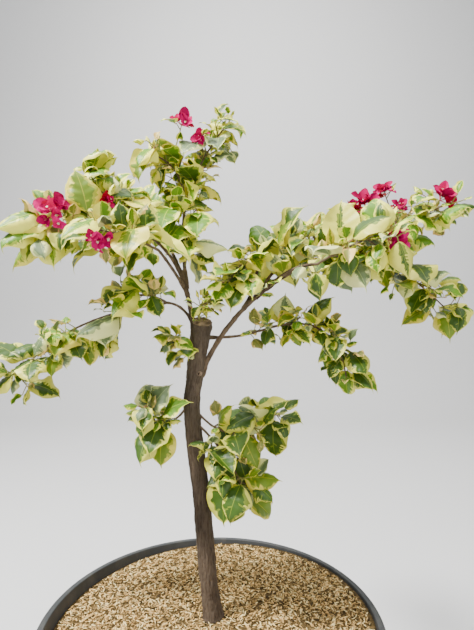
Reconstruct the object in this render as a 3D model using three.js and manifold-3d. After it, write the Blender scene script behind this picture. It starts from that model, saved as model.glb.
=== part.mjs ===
// Bougainvillea trained to a single stem, with cream-edged leaves, in a round pot of rice husks.
// Millimetres, +Z up. The origin is the centre of the pot's flat underside, the viewer's side is -Y.
import * as THREE from 'three';
import { mergeVertices } from 'three/addons/utils/BufferGeometryUtils.js';
import Module from 'manifold-3d';

const wasm = await Module();
wasm.setup();

// Driving dimensions of the pot
const POT_HEIGHT = 400;
const POT_RIM_RADIUS = 272;
const POT_FOOT_RADIUS = 208;
const POT_WALL = 4;
const POT_FLOOR = 5;
const POT_EDGE_ROUND = 6;
const LIP_OVERHANG = 8;
const LIP_DROP = 16;
const LIP_STEP = 1;
const LIP_BEVEL = [3, 4];
const RIM_BEVEL = 2;
const POT_SECTORS = 32;

// Driving dimensions of the mulch: level at the trunk, and at the wall on its high and low sides
const MULCH_LEVEL = 395;
const MULCH_SEAT_RADIUS = 26;
const MULCH_EDGE_LEVEL = 385;
const MULCH_EDGE_SWING = 10;
const MULCH_HIGH_SIDE = THREE.MathUtils.degToRad(30);
const MULCH_RINGS = 3;

// Driving dimensions of the trunk
const TRUNK_HEIGHT = 499;
const TRUNK_RADIUS = 15;
const TRUNK_TAPER = 0.13;
const FLARE = 4;
const FLARE_HEIGHT = 16;
const HEAD_SWELLING = 3.4;
const HEAD_START = 0.7;
const HEAD_FULL = 0.92;
const SAW_TILT = THREE.MathUtils.degToRad(24);
const SAW_ALLOWANCE = 8;
const CUT_BLOCK = 150;
const TRUNK_SIDES = 12;
const TRUNK_ROWS = 14;

// Sideways place of the trunk's axis at fractions of its height: it leans left, then back
const TRUNK_LEAN = [
  { at: 0, x: 1, y: 0 },
  { at: 0.17, x: -9, y: 3 },
  { at: 0.42, x: -20, y: 6 },
  { at: 0.68, x: -34, y: 4 },
  { at: 0.82, x: -29, y: 0 },
  { at: 1, x: -16, y: -4 },
];

// Leaves, bracts and twigs
const LEAF_LENGTH = 78;
const LEAF_WIDTH = 0.7;
const LEAF_THICKNESS = 1.2;
const LEAF_FOLD = 0.16;
const LEAF_WIDEST = 0.44;
const LEAF_TIP_DROP = 0.1;
const LEAF_ROOT_DEPTH = 0.3;
const BRACT_LENGTH = 31;
const BRACT_WIDTH = 0.74;
const BRACTS = 3;
const BRACT_SPREAD = 0.82;
const BRACT_RISE = 0.57;
const BRACT_NOTCH = 0.4;
const BLOOM_DEPTH = 2;
const STEM_RADIUS = 1.3;
const TWIG_RADIUS = 0.9;
const TWIG_TAPER = 0.6;
const NODE_STEP = 20;
const TWIG_SIDES = 3;
const BOUGH_SIDES = 5;
const BOUGH_STEP = 32;
const BOUGH_ROWS = 4;
const BOUGH_ROOT = 0.7;
const STEM_STEP = 22;
const STEM_ROWS = 3;
const STEEP = 0.95;
const GOLDEN_ANGLE = THREE.MathUtils.degToRad(137.5);
const CLEARANCE = 0.3;
const SMALLEST_EDGE = 0.02;

// The rule of growth: how leaves and twigs spring from what carries them
const LEAF_DROOP = [0.25, 1.3];
const LEAF_FORWARD = 0.35;
const LEAF_FACING = 0.5;
const LEAF_LIGHT = 0.9;
const LEAF_ROLL = 0.8;
const LEAF_SIZES = [0.66, 1.3];
const LEAF_ATTEMPTS = 5;
const END_LEAVES = 3;
const TWIG_FORWARD = 0.6;
const TWIG_RISE = 0.15;
const TWIG_SIZES = [0.6, 1.1];
const TWIG_ATTEMPTS = 3;
const TWIG_LEAVES = [0.55, 1];
const BLOOM_SETBACK = 0.9;
const OPEN_STEPS = 4;
const OPEN_STEP = 20;
const OPEN_WIDTH = 0.62;
const HEAD_OPEN_AT = 0.97;
const HEAD_OPEN_WIDTH = 15;
const TIP_SPREAD = 1.5;

// How closely blades and twigs may pass each other, and how finely that is judged
const BLADE_GAP = 5;
const TWIG_GAP = 2;
const ROOT_PART = 0.2;
const BLADE_DOT_ROWS = [0.25, 0.45, 0.65, 0.85, 1];
const BLADE_DOT_COLUMNS = [-0.9, 0, 0.9];
const LIMB_DOT_STEP = 5;
const TWIG_DOT_STEP = 6;
const TWIG_CHECKS = 4;

const UP = new THREE.Vector3(0, 0, 1);

// The side that leaves turn to, and the place that blooms and the trunk's head are seen from
const LIGHT_SIDE = new THREE.Vector3(-0.2, -1, 0.3);
const SEEN_FROM = new THREE.Vector3(41, -758, 878);

// Each bough: what carries it and where, a point halfway along, its tip, and its radii
const BOUGHS = [
  { name: 'right_bough', carrier: 'trunk', at: 0.79,
    half: [58, -8, 914], tip: [174, -12, 988], radii: [4.6, 2.6] },
  { name: 'right_inner_bough', carrier: 'right_bough', at: 0.5,
    half: [70, 8, 949], tip: [76, 10, 984], radii: [2.7, 2.2] },
  { name: 'right_front_bough', carrier: 'right_bough', at: 0.68,
    half: [128, -40, 968], tip: [163, -70, 973], radii: [2.7, 2.2] },
  { name: 'right_back_bough', carrier: 'right_bough', at: 0.6,
    half: [127, 55, 994], tip: [199, 110, 1025], radii: [2.9, 2.2] },
  { name: 'lower_right_bough', carrier: 'trunk', at: 0.93,
    half: [39, 28, 862], tip: [77, 22, 871], radii: [2.6, 2] },
  { name: 'left_bough', carrier: 'trunk', at: 0.96,
    half: [-39, 0, 920], tip: [-49, 0, 970], radii: [4.2, 3.2] },
  { name: 'top_bough', carrier: 'left_bough', at: 0.82,
    half: [-51, 18, 1040], tip: [-45, 22, 1089], radii: [2.9, 2.2] },
  { name: 'left_outer_bough', carrier: 'left_bough', at: 0.92,
    half: [-81, -20, 1009], tip: [-113, -35, 1026], radii: [2.9, 2.2] },
  { name: 'left_front_bough', carrier: 'left_bough', at: 0.7,
    half: [-66, -55, 978], tip: [-76, -85, 992], radii: [2.6, 2] },
  { name: 'left_back_bough', carrier: 'left_bough', at: 0.88,
    half: [-88, 60, 1034], tip: [-125, 110, 1073], radii: [2.8, 2.2] },
  { name: 'low_left_bough', carrier: 'trunk', at: 0.965,
    half: [-50, -4, 908], tip: [-76, -8, 918], radii: [2.6, 2] },
];

// Each mass of foliage: the limb that carries it (at its tip unless a place is given), a point
// halfway along its stem, the stem's tip, the length of its side twigs, the size of its leaves,
// how far from the stem it may reach, its seed, the bare part of its stem, and its blooms
const MASSES = [
  { name: 'top_right_foliage', carrier: 'top_bough', half: [-22, 12, 1150], tip: [20, -5, 1208],
    twig: 26, leaf: 0.75, reach: 72, seed: 1363, bare: 0,
    blooms: [
      { at: [-19, -15, 1186], size: 0.6 },
    ] },
  { name: 'top_left_foliage', carrier: 'top_bough', half: [-62, 20, 1142], tip: [-94, 8, 1166],
    twig: 28, leaf: 0.85, reach: 80, seed: 2585, bare: 0,
    blooms: [
      { at: [-50, 5, 1223], size: 0.75 },
    ] },
  { name: 'left_far_foliage', carrier: 'left_outer_bough', half: [-185, -55, 1036], tip: [-266, -50, 1030],
    twig: 34, leaf: 1.15, reach: 92, seed: 2169, bare: 0,
    blooms: [
      { at: [-236, -80, 1050], size: 0.95 }, { at: [-218, -95, 1028], size: 0.45 },
    ] },
  { name: 'left_upper_foliage', carrier: 'left_outer_bough', half: [-157, -25, 1078], tip: [-204, -10, 1115],
    twig: 34, leaf: 1, reach: 84, seed: 2052, bare: 0,
    blooms: [
      { at: [-157, -60, 1068], size: 0.6 },
    ] },
  { name: 'left_front_foliage', carrier: 'left_front_bough',
    half: [-110, -120, 1004], tip: [-148, -140, 1010],
    twig: 30, leaf: 1, reach: 78, seed: 661, bare: 0,
    blooms: [
      { at: [-143, -150, 994], size: 0.65 },
    ] },
  { name: 'left_back_foliage', carrier: 'left_back_bough', half: [-185, 160, 1124], tip: [-237, 200, 1156],
    twig: 36, leaf: 1, reach: 84, seed: 2247, bare: 0, blooms: [] },
  { name: 'left_inner_foliage', carrier: 'left_bough', half: [-42, 0, 1023], tip: [-48, -12, 1068],
    twig: 34, leaf: 1, reach: 86, seed: 622, bare: 0, blooms: [] },
  { name: 'low_left_outer_foliage', carrier: 'low_left_bough', half: [-127, -18, 928], tip: [-170, -25, 886],
    twig: 26, leaf: 1, reach: 80, seed: 375, bare: 0, blooms: [] },
  { name: 'left_edge_foliage', carrier: 'low_left_bough', half: [-226, -5, 876], tip: [-322, 0, 796],
    twig: 26, leaf: 0.8, reach: 84, seed: 934, bare: 0.45, blooms: [] },
  { name: 'low_left_inner_foliage', carrier: 'trunk', at: 0.87, half: [-48, -10, 846], tip: [-62, -20, 862],
    twig: 10, leaf: 0.8, reach: 52, seed: 2338, bare: 0, blooms: [] },
  { name: 'right_tip_foliage', carrier: 'right_bough', half: [273, -20, 1032], tip: [372, -30, 1072],
    twig: 30, leaf: 0.75, reach: 80, seed: 76, bare: 0,
    blooms: [
      { at: [252, -5, 1081], size: 0.9 }, { at: [286, 0, 1103], size: 0.75 },
      { at: [306, -15, 1070], size: 0.6 }, { at: [370, -30, 1086], size: 0.75 },
    ] },
  { name: 'right_outer_foliage', carrier: 'right_bough', half: [275, -15, 984], tip: [380, -10, 912],
    twig: 32, leaf: 0.8, reach: 80, seed: 3014, bare: 0, blooms: [] },
  { name: 'right_inner_foliage', carrier: 'right_inner_bough', half: [54, -2, 986], tip: [28, -20, 952],
    twig: 28, leaf: 0.9, reach: 74, seed: 414, bare: 0, blooms: [] },
  { name: 'right_upper_foliage', carrier: 'right_inner_bough', half: [103, 18, 1016], tip: [150, 10, 1026],
    twig: 28, leaf: 0.95, reach: 88, seed: 856, bare: 0, blooms: [] },
  { name: 'right_front_foliage', carrier: 'right_front_bough', half: [206, -95, 996], tip: [243, -105, 1009],
    twig: 34, leaf: 0.95, reach: 90, seed: 2481, bare: 0,
    blooms: [
      { at: [269, -85, 1008], size: 0.85 },
    ] },
  { name: 'right_back_foliage', carrier: 'right_back_bough', half: [267, 150, 1062], tip: [349, 190, 1059],
    twig: 34, leaf: 0.9, reach: 84, seed: 2559, bare: 0,
    blooms: [
      { at: [270, 150, 1110], size: 0.8 },
    ] },
  { name: 'middle_back_foliage', carrier: 'right_back_bough', half: [188, 160, 1054], tip: [154, 210, 1052],
    twig: 34, leaf: 0.9, reach: 84, seed: 284, bare: 0, blooms: [] },
  { name: 'lower_right_foliage', carrier: 'lower_right_bough', half: [177, 5, 876], tip: [223, 0, 796],
    twig: 18, leaf: 0.72, reach: 72, seed: 2338, bare: 0, blooms: [] },
  { name: 'low_left_foliage', carrier: 'trunk', at: 0.66, half: [-69, -10, 720], tip: [-105, -20, 735],
    twig: 24, leaf: 0.85, reach: 84, seed: 2078, bare: 0.25, blooms: [] },
  { name: 'low_right_upper_foliage', carrier: 'trunk', at: 0.63, half: [26, -5, 704], tip: [95, -5, 733],
    twig: 24, leaf: 0.85, reach: 80, seed: 2689, bare: 0.2, blooms: [] },
  { name: 'low_right_lower_foliage', carrier: 'trunk', at: 0.58, half: [23, -15, 667], tip: [50, -25, 615],
    twig: 28, leaf: 0.9, reach: 84, seed: 6550, bare: 0.15, blooms: [] },
  { name: 'head_foliage', carrier: 'trunk', at: 0.965, half: [-22, -16, 908], tip: [-2, -22, 919],
    twig: 12, leaf: 0.55, reach: 46, seed: 1233, bare: 0, blooms: [] },
];

const potPlastic = new THREE.MeshStandardMaterial({ color: 0x3c3e3e, roughness: 0.6 });
const husk = new THREE.MeshStandardMaterial({ color: 0xcdb482, roughness: 0.95 });
const bark = new THREE.MeshStandardMaterial({ color: 0x735f4b, roughness: 0.9 });
const foliage = new THREE.MeshStandardMaterial({ color: 0x9aa65a, roughness: 0.55 });

const plant = new THREE.Group();

function addPart(name, geometry, material) {
  const mesh = new THREE.Mesh(geometry, material);
  mesh.name = name;
  plant.add(mesh);
}

// Solids: a closed geometry as a solid, and back

function toSolid(geometry) {
  const bare = geometry.clone();
  bare.deleteAttribute('normal');
  bare.deleteAttribute('uv');
  const merged = mergeVertices(bare);
  return new wasm.Manifold(new wasm.Mesh({
    numProp: 3,
    vertProperties: merged.attributes.position.array,
    triVerts: new Uint32Array(merged.index.array),
  }));
}

function toGeometry(solid) {
  const { vertProperties, triVerts } = solid.getMesh();
  const geometry = new THREE.BufferGeometry();
  geometry.setAttribute('position', new THREE.BufferAttribute(vertProperties, 3));
  geometry.setIndex(new THREE.BufferAttribute(triVerts, 1));
  geometry.computeVertexNormals();
  return geometry;
}

function largestBody(solid) {
  const bodies = solid.decompose();
  return bodies.reduce((best, body) => (body.volume() > best.volume() ? body : best));
}

// Routes and frames

function vector([x, y, z]) {
  return new THREE.Vector3(x, y, z);
}

// A bent line from start to tip that passes through the halfway point
function bentRoute(start, half, tip) {
  const control = half.clone().multiplyScalar(2);
  control.addScaledVector(start, -0.5).addScaledVector(tip, -0.5);
  return new THREE.QuadraticBezierCurve3(start, control, tip);
}

// The same route in straight lengths, as a stem of that many rows follows it
class FacetedRoute extends THREE.Curve {
  constructor(route, rows) {
    super();
    this.rows = rows;
    this.points = route.getPoints(rows);
  }

  getPoint(fraction) {
    const place = fraction * this.rows;
    const index = Math.min(Math.floor(place), this.rows - 1);
    return this.points[index].clone().lerp(this.points[index + 1], place - index);
  }
}

// Two directions square to a heading, the first of them level
function sidesOf(heading) {
  const reference = Math.abs(heading.z) > STEEP ? new THREE.Vector3(0, 1, 0) : UP;
  const across = new THREE.Vector3().crossVectors(heading, reference).normalize();
  const over = new THREE.Vector3().crossVectors(across, heading);
  return { across, over };
}

// A cylinder carried along a route, with a radius given at each fraction of it
function limbGeometry(route, radiusAt, sides, rows, growth = 0) {
  const geometry = new THREE.CylinderGeometry(1, 1, rows, sides, rows);
  const rings = [];
  let across = sidesOf(route.getTangent(0)).across;
  for (let row = 0; row <= rows; row += 1) {
    const heading = route.getTangent(row / rows);
    across = across.clone().addScaledVector(heading, -across.dot(heading)).normalize();
    const centre = route.getPoint(row / rows);
    if (row === 0) centre.addScaledVector(heading, -growth);
    if (row === rows) centre.addScaledVector(heading, growth);
    const over = new THREE.Vector3().crossVectors(across, heading);
    rings.push({ centre, across, over, radius: radiusAt(row / rows) + growth });
  }
  const position = geometry.attributes.position;
  const place = new THREE.Vector3();
  for (let index = 0; index < position.count; index += 1) {
    place.fromBufferAttribute(position, index);
    const ring = rings[Math.round(place.y + rows / 2)];
    const { x, z } = place;
    place.copy(ring.centre);
    place.addScaledVector(ring.across, x * ring.radius);
    place.addScaledVector(ring.over, z * ring.radius);
    position.setXYZ(index, place.x, place.y, place.z);
  }
  return geometry;
}

function taper(from, to) {
  return (fraction) => from + (to - from) * fraction;
}

// Pot: a lathed bucket with a rolled lip

const innerRim = POT_RIM_RADIUS - POT_WALL;
const wallSlope = (POT_RIM_RADIUS - POT_FOOT_RADIUS) / POT_HEIGHT;

function outerRadius(height) {
  return POT_FOOT_RADIUS + wallSlope * height;
}

function innerRadius(height) {
  return outerRadius(height) - POT_WALL;
}

function potGeometry() {
  const lipRadius = POT_RIM_RADIUS + LIP_OVERHANG;
  const lipFoot = POT_HEIGHT - LIP_DROP;
  const profile = [
    [0, 0],
    [POT_FOOT_RADIUS - POT_EDGE_ROUND, 0],
    [outerRadius(POT_EDGE_ROUND), POT_EDGE_ROUND],
    [outerRadius(lipFoot), lipFoot],
    [lipRadius, lipFoot + LIP_STEP],
    [lipRadius, POT_HEIGHT - LIP_BEVEL[1]],
    [lipRadius - LIP_BEVEL[0], POT_HEIGHT],
    [innerRim + RIM_BEVEL, POT_HEIGHT],
    [innerRadius(POT_HEIGHT - RIM_BEVEL), POT_HEIGHT - RIM_BEVEL],
    [innerRadius(POT_FLOOR), POT_FLOOR],
    [0, POT_FLOOR],
  ].map(([radius, height]) => new THREE.Vector2(radius, height));
  return new THREE.LatheGeometry(profile, POT_SECTORS).rotateX(Math.PI / 2);
}

// Mulch: fills the pot, level at the trunk's foot, falling to the wall and higher on one side

function mulchEdgeLevel(angle) {
  return MULCH_EDGE_LEVEL + MULCH_EDGE_SWING * Math.cos(angle - MULCH_HIGH_SIDE);
}

function mulchGeometry() {
  const seat = MULCH_SEAT_RADIUS / innerRim;
  const profile = [[0, 0], [1, 0]];
  for (let ring = 0; ring <= MULCH_RINGS; ring += 1) {
    profile.push([THREE.MathUtils.lerp(1, seat, ring / MULCH_RINGS), 1]);
  }
  profile.push([0, 1]);
  const points = profile.map(([part, height]) => new THREE.Vector2(part, height));
  const geometry = new THREE.LatheGeometry(points, POT_SECTORS).rotateX(Math.PI / 2);
  const bottom = POT_FLOOR + CLEARANCE;
  const position = geometry.attributes.position;
  for (let index = 0; index < position.count; index += 1) {
    const x = position.getX(index);
    const y = position.getY(index);
    const edge = mulchEdgeLevel(Math.atan2(y, x));
    const slope = THREE.MathUtils.smoothstep(Math.hypot(x, y), seat, 1);
    const surface = THREE.MathUtils.lerp(MULCH_LEVEL, edge, slope);
    const isBottom = position.getZ(index) < 0.5;
    const wall = innerRadius(isBottom ? bottom : edge) - CLEARANCE;
    position.setXYZ(index, x * wall, y * wall, isBottom ? bottom : surface);
  }
  return geometry;
}

// Limbs: the trunk is bare, leaning, flared at the foot, and swollen where it is sawn off

const trunkFoot = MULCH_LEVEL + CLEARANCE;
const trunkRoute = new THREE.CatmullRomCurve3(
  TRUNK_LEAN.map(({ at, x, y }) => new THREE.Vector3(x, y, trunkFoot + at * TRUNK_HEIGHT)),
  false,
  'catmullrom',
);

function trunkRadius(fraction) {
  const foot = FLARE * Math.exp((-fraction * TRUNK_HEIGHT) / FLARE_HEIGHT);
  const head = HEAD_SWELLING * THREE.MathUtils.smoothstep(fraction, HEAD_START, HEAD_FULL);
  return TRUNK_RADIUS * (1 - TRUNK_TAPER * fraction) + foot + head;
}

// A block that stands on a point, or hangs from it, and leans towards the viewer
function block(point, tilt, isHanging) {
  const geometry = new THREE.BoxGeometry(CUT_BLOCK, CUT_BLOCK, CUT_BLOCK);
  geometry.translate(0, 0, isHanging ? -CUT_BLOCK / 2 : CUT_BLOCK / 2);
  geometry.rotateX(tilt);
  geometry.translate(point.x, point.y, point.z);
  return toSolid(geometry);
}

function limbSolid(limb, growth = 0) {
  return toSolid(limbGeometry(limb.route, limb.radiusAt, limb.sides, limb.rows, growth));
}

// The trunk's head is sawn off askew and its foot is cut level with the mulch
function trunkSolid(trunk, growth = 0) {
  const head = trunkRoute.getPoint(1);
  head.z += growth - SAW_ALLOWANCE;
  const sawCut = block(head, SAW_TILT, false);
  const groundCut = block(trunkRoute.getPoint(0), 0, true);
  return limbSolid(trunk, growth).subtract(sawCut).subtract(groundCut);
}

const limbs = new Map();
limbs.set('trunk', {
  route: trunkRoute, radiusAt: trunkRadius, sides: TRUNK_SIDES, rows: TRUNK_ROWS,
});

// The way from a place on a limb towards a point, square to the limb
function asideTo(limb, fraction, point) {
  const heading = limb.route.getTangent(fraction);
  const aside = point.clone().sub(limb.route.getPoint(fraction));
  return aside.addScaledVector(heading, -aside.dot(heading)).normalize();
}

BOUGHS.forEach(({ name, carrier, at, half, tip, radii }) => {
  const holder = limbs.get(carrier);
  const start = holder.route.getPoint(at);
  start.addScaledVector(asideTo(holder, at, vector(half)), BOUGH_ROOT * holder.radiusAt(at));
  const route = bentRoute(start, vector(half), vector(tip));
  const rows = Math.max(BOUGH_ROWS, Math.round(route.getLength() / BOUGH_STEP));
  limbs.set(name, { route, radiusAt: taper(...radii), sides: BOUGH_SIDES, rows });
});

// Growth: what stands already is known by dots along limbs and twigs and over the blades

function seeded(seed) {
  let state = seed;
  return () => {
    state = (state * 48271) % 2147483647;
    return state / 2147483647;
  };
}

const dots = [];
const blades = [];

function addDots(route, radius, step, owner) {
  const count = Math.max(2, Math.ceil(route.getLength() / step));
  for (let index = 0; index <= count; index += 1) {
    dots.push({ place: route.getPoint(index / count), radius, owner });
  }
}

function bladeHalfWidth(blade, along) {
  const part = along / blade.length;
  const rise = part < LEAF_WIDEST ? part / LEAF_WIDEST : (1 - part) / (1 - LEAF_WIDEST);
  return (blade.width / 2) * Math.max(0, rise);
}

function makeBlade(root, heading, face, length, ratio) {
  const along = heading.clone().normalize();
  const normal = face.clone().addScaledVector(along, -face.dot(along)).normalize();
  const across = new THREE.Vector3().crossVectors(along, normal);
  return { root, along, across, normal, length, width: length * ratio };
}

function onBlade(blade, along, across, normal) {
  return blade.root.clone()
    .addScaledVector(blade.along, along)
    .addScaledVector(blade.across, across)
    .addScaledVector(blade.normal, normal);
}

function bladeDots(blade) {
  const places = [];
  for (const part of BLADE_DOT_ROWS) {
    const half = bladeHalfWidth(blade, part * blade.length);
    for (const side of BLADE_DOT_COLUMNS) {
      places.push(onBlade(blade, part * blade.length, side * half, 0));
    }
  }
  return places;
}

function isOnBlade(blade, place, radius) {
  const offset = place.clone().sub(blade.root);
  const along = offset.dot(blade.along);
  if (along < ROOT_PART * blade.length || along > blade.length + radius) return false;
  const half = bladeHalfWidth(blade, along) + radius;
  return Math.abs(offset.dot(blade.across)) < half
    && Math.abs(offset.dot(blade.normal)) < radius + BLADE_GAP;
}

function distanceToStem(place, mass) {
  return Math.min(...mass.route.points.map((point) => point.distanceTo(place)));
}

// A mass keeps a place that is within its reach and relatively nearest to its own stem
function isInSpace(place, mass) {
  const own = distanceToStem(place, mass) / mass.reach;
  return own < 1 && masses.every((other) => other === mass
    || distanceToStem(place, other) / other.reach > own);
}

function bladeFits(blade, mass) {
  const widest = LEAF_WIDEST * blade.length;
  const rim = [
    onBlade(blade, blade.length, 0, 0),
    onBlade(blade, widest, blade.width / 2, 0),
    onBlade(blade, widest, -blade.width / 2, 0),
  ];
  if (rim.some((place) => distanceToStem(place, mass) > mass.reach)) return false;
  if (!isInSpace(onBlade(blade, widest, 0, 0), mass)) return false;
  if (dots.some((dot) => isOnBlade(blade, dot.place, dot.radius))) return false;
  const own = bladeDots(blade);
  return !blades.some((other) => own.some((place) => isOnBlade(other, place, 0)));
}

function standBlade(blade, mass) {
  blades.push(blade);
  bladeDots(blade).forEach((place) => dots.push({ place, radius: 0, owner: mass }));
}

function twigFits(route, mass) {
  for (let index = 1; index <= TWIG_CHECKS; index += 1) {
    const place = route.getPoint(index / TWIG_CHECKS);
    if (!isInSpace(place, mass)) return false;
    if (blades.some((blade) => isOnBlade(blade, place, TWIG_RADIUS + CLEARANCE))) return false;
    const touches = (dot) => dot.owner !== mass
      && dot.place.distanceTo(place) < dot.radius + TWIG_RADIUS + TWIG_GAP;
    if (dots.some(touches)) return false;
  }
  return true;
}

// A leaf springs from a twig at a turn about its heading, reaches forward and droops
function tryLeaf(mass, root, heading, turn, random) {
  const { across, over } = sidesOf(heading);
  for (let attempt = 0; attempt < LEAF_ATTEMPTS; attempt += 1) {
    const angle = turn + attempt * GOLDEN_ANGLE;
    const outward = across.clone().multiplyScalar(Math.cos(angle));
    outward.addScaledVector(over, Math.sin(angle));
    const droop = THREE.MathUtils.lerp(...LEAF_DROOP, random());
    const along = outward.clone().addScaledVector(heading, LEAF_FORWARD).addScaledVector(UP, -droop);
    const face = UP.clone().addScaledVector(outward, LEAF_FACING);
    face.addScaledVector(LIGHT_SIDE, LEAF_LIGHT).addScaledVector(across, LEAF_ROLL * (random() - 0.5));
    const length = LEAF_LENGTH * mass.leaf * THREE.MathUtils.lerp(...LEAF_SIZES, random());
    const blade = makeBlade(root, along, face, length, LEAF_WIDTH);
    if (bladeFits(blade, mass)) {
      standBlade(blade, mass);
      mass.leaves.push(blade);
      return;
    }
  }
}

function addTwig(mass, route) {
  const radiusAt = taper(TWIG_RADIUS, TWIG_RADIUS * TWIG_TAPER);
  mass.twigs.push({ route, radiusAt, sides: TWIG_SIDES, rows: 1 });
  addDots(route, TWIG_RADIUS, TWIG_DOT_STEP, mass);
}

function growTwig(mass, root, heading, turn, length, random) {
  const { across, over } = sidesOf(heading);
  for (let attempt = 0; attempt < TWIG_ATTEMPTS; attempt += 1) {
    const angle = turn + attempt * GOLDEN_ANGLE;
    const way = across.clone().multiplyScalar(Math.cos(angle));
    way.addScaledVector(over, Math.sin(angle)).addScaledVector(heading, TWIG_FORWARD);
    way.addScaledVector(UP, TWIG_RISE).normalize();
    const tip = root.clone().addScaledVector(way, length);
    const route = new THREE.LineCurve3(root, tip);
    if (twigFits(route, mass)) {
      addTwig(mass, route);
      TWIG_LEAVES.forEach((fraction, index) => {
        const turnHere = turn + index * GOLDEN_ANGLE;
        tryLeaf(mass, route.getPoint(fraction), route.getTangent(fraction), turnHere, random);
      });
      return;
    }
  }
}

// A bloom is a ring of bracts spread from the end of its own twig, with no leaf before it
function growBloom(mass, { at, size }) {
  const centre = vector(at);
  const reach = BRACT_LENGTH * size;
  const root = mass.route.getPoint(nearestFraction(mass.route, centre) * BLOOM_SETBACK);
  const route = new THREE.LineCurve3(root, centre);
  addTwig(mass, route);
  const heading = route.getTangent(1);
  const { across, over } = sidesOf(heading);
  mass.blossoms.push({ centre, heading, across, over, reach });
  for (let bract = 0; bract < BRACTS; bract += 1) {
    const angle = (bract * 2 * Math.PI) / BRACTS;
    const outward = across.clone().multiplyScalar(Math.cos(angle)).addScaledVector(over, Math.sin(angle));
    const along = heading.clone().multiplyScalar(BRACT_RISE).addScaledVector(outward, BRACT_SPREAD);
    standBlade(makeBlade(centre, along, heading, reach, BRACT_WIDTH), mass);
  }
  keepOpen(centre.clone().addScaledVector(heading, reach * BRACT_RISE), OPEN_WIDTH * reach, mass);
}

// Nothing grows across the way from the viewer to a bloom or to the trunk's head
function keepOpen(seen, radius, owner) {
  const openWay = SEEN_FROM.clone().sub(seen).normalize();
  for (let step = 1; step <= OPEN_STEPS; step += 1) {
    dots.push({ place: seen.clone().addScaledVector(openWay, step * OPEN_STEP), radius, owner });
  }
}

function nearestFraction(route, place) {
  let best = 0;
  route.points.forEach((point, index) => {
    const gap = point.distanceTo(place);
    if (gap < route.getPoint(best).distanceTo(place)) best = index / route.rows;
  });
  return best;
}

function growMass(mass) {
  const random = seeded(mass.seed);
  const leafy = mass.route.getLength() * (1 - mass.bare);
  const nodes = Math.max(2, Math.round(leafy / (NODE_STEP * mass.leaf)));
  for (let node = 1; node <= nodes; node += 1) {
    const fraction = THREE.MathUtils.lerp(mass.bare, 1, node / nodes);
    const root = mass.route.getPoint(fraction);
    const heading = mass.route.getTangent(fraction);
    const turn = mass.twist + node * GOLDEN_ANGLE;
    const length = mass.twig * THREE.MathUtils.lerp(...TWIG_SIZES, random());
    growTwig(mass, root, heading, turn, length, random);
    tryLeaf(mass, root, heading, turn + Math.PI, random);
  }
  const end = mass.route.getPoint(1);
  for (let leaf = 0; leaf < END_LEAVES; leaf += 1) {
    tryLeaf(mass, end, mass.route.getTangent(1), leaf * GOLDEN_ANGLE, random);
  }
}

// Masses: stems start at their limb's tip, spread apart where they share it, or in the trunk

const masses = MASSES.map((data, index) => {
  const limb = limbs.get(data.carrier);
  const isOnTrunk = data.carrier === 'trunk';
  const fraction = isOnTrunk ? data.at : 1;
  const start = limb.route.getPoint(fraction);
  const half = vector(data.half);
  if (!isOnTrunk) start.addScaledVector(asideTo(limb, 1, half), TIP_SPREAD);
  const bent = bentRoute(start, half, vector(data.tip));
  const rows = Math.max(STEM_ROWS, Math.round(bent.getLength() / STEM_STEP));
  const route = new FacetedRoute(bent, rows);
  const stem = { route, radiusAt: taper(STEM_RADIUS, TWIG_RADIUS), sides: TWIG_SIDES, rows };
  return { ...data, route, stem, twist: index, twigs: [], leaves: [], blossoms: [] };
});

limbs.forEach((limb) => {
  addDots(limb.route, limb.radiusAt(0) + CLEARANCE, LIMB_DOT_STEP, limb);
});
masses.forEach((mass) => addDots(mass.route, STEM_RADIUS, TWIG_DOT_STEP, mass));
keepOpen(trunkRoute.getPoint(HEAD_OPEN_AT), HEAD_OPEN_WIDTH, trunkRoute);
masses.forEach((mass) => mass.blooms.forEach((bloom) => growBloom(mass, bloom)));
masses.forEach(growMass);

function closedBody(corners, faces) {
  return new wasm.Manifold(new wasm.Mesh({
    numProp: 3,
    vertProperties: new Float32Array(corners.flatMap((corner) => corner.toArray())),
    triVerts: new Uint32Array(faces.flat()),
  }));
}

// A blade as a closed body: folded underneath along its midrib, ridged above, its root sunk
function bladeSolid(blade) {
  const widest = LEAF_WIDEST * blade.length;
  const fold = LEAF_FOLD * (blade.width / 2);
  const corners = [
    onBlade(blade, -LEAF_ROOT_DEPTH, 0, 0),
    onBlade(blade, widest, -blade.width / 2, fold),
    onBlade(blade, blade.length, 0, -LEAF_TIP_DROP * blade.length),
    onBlade(blade, widest, blade.width / 2, fold),
    onBlade(blade, widest, 0, LEAF_THICKNESS - LEAF_TIP_DROP * widest),
  ];
  const [root, left, tip, right, ridge] = corners.keys();
  return closedBody(corners, [
    [root, left, tip], [root, tip, right],
    [root, ridge, left], [left, ridge, tip], [tip, ridge, right], [right, ridge, root],
  ]);
}

// A bloom as a closed body: a cupped star with one point for each bract
function bloomSolid({ centre, heading, across, over, reach }) {
  const points = 2 * BRACTS;
  const ring = Array.from({ length: points }, (_, index) => {
    const isTip = index % 2 === 0;
    const angle = (index * 2 * Math.PI) / points;
    const spread = reach * (isTip ? BRACT_SPREAD : BRACT_NOTCH);
    const rise = reach * (isTip ? BRACT_RISE : BRACT_RISE * BRACT_NOTCH);
    return centre.clone().addScaledVector(heading, rise)
      .addScaledVector(across, spread * Math.cos(angle))
      .addScaledVector(over, spread * Math.sin(angle));
  });
  const root = points;
  const heart = points + 1;
  const corners = [
    ...ring,
    centre.clone().addScaledVector(heading, -LEAF_ROOT_DEPTH),
    centre.clone().addScaledVector(heading, BLOOM_DEPTH),
  ];
  const faces = ring.flatMap((_, index) => {
    const next = (index + 1) % points;
    return [[root, index, next], [heart, next, index]];
  });
  return closedBody(corners, faces);
}

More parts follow.
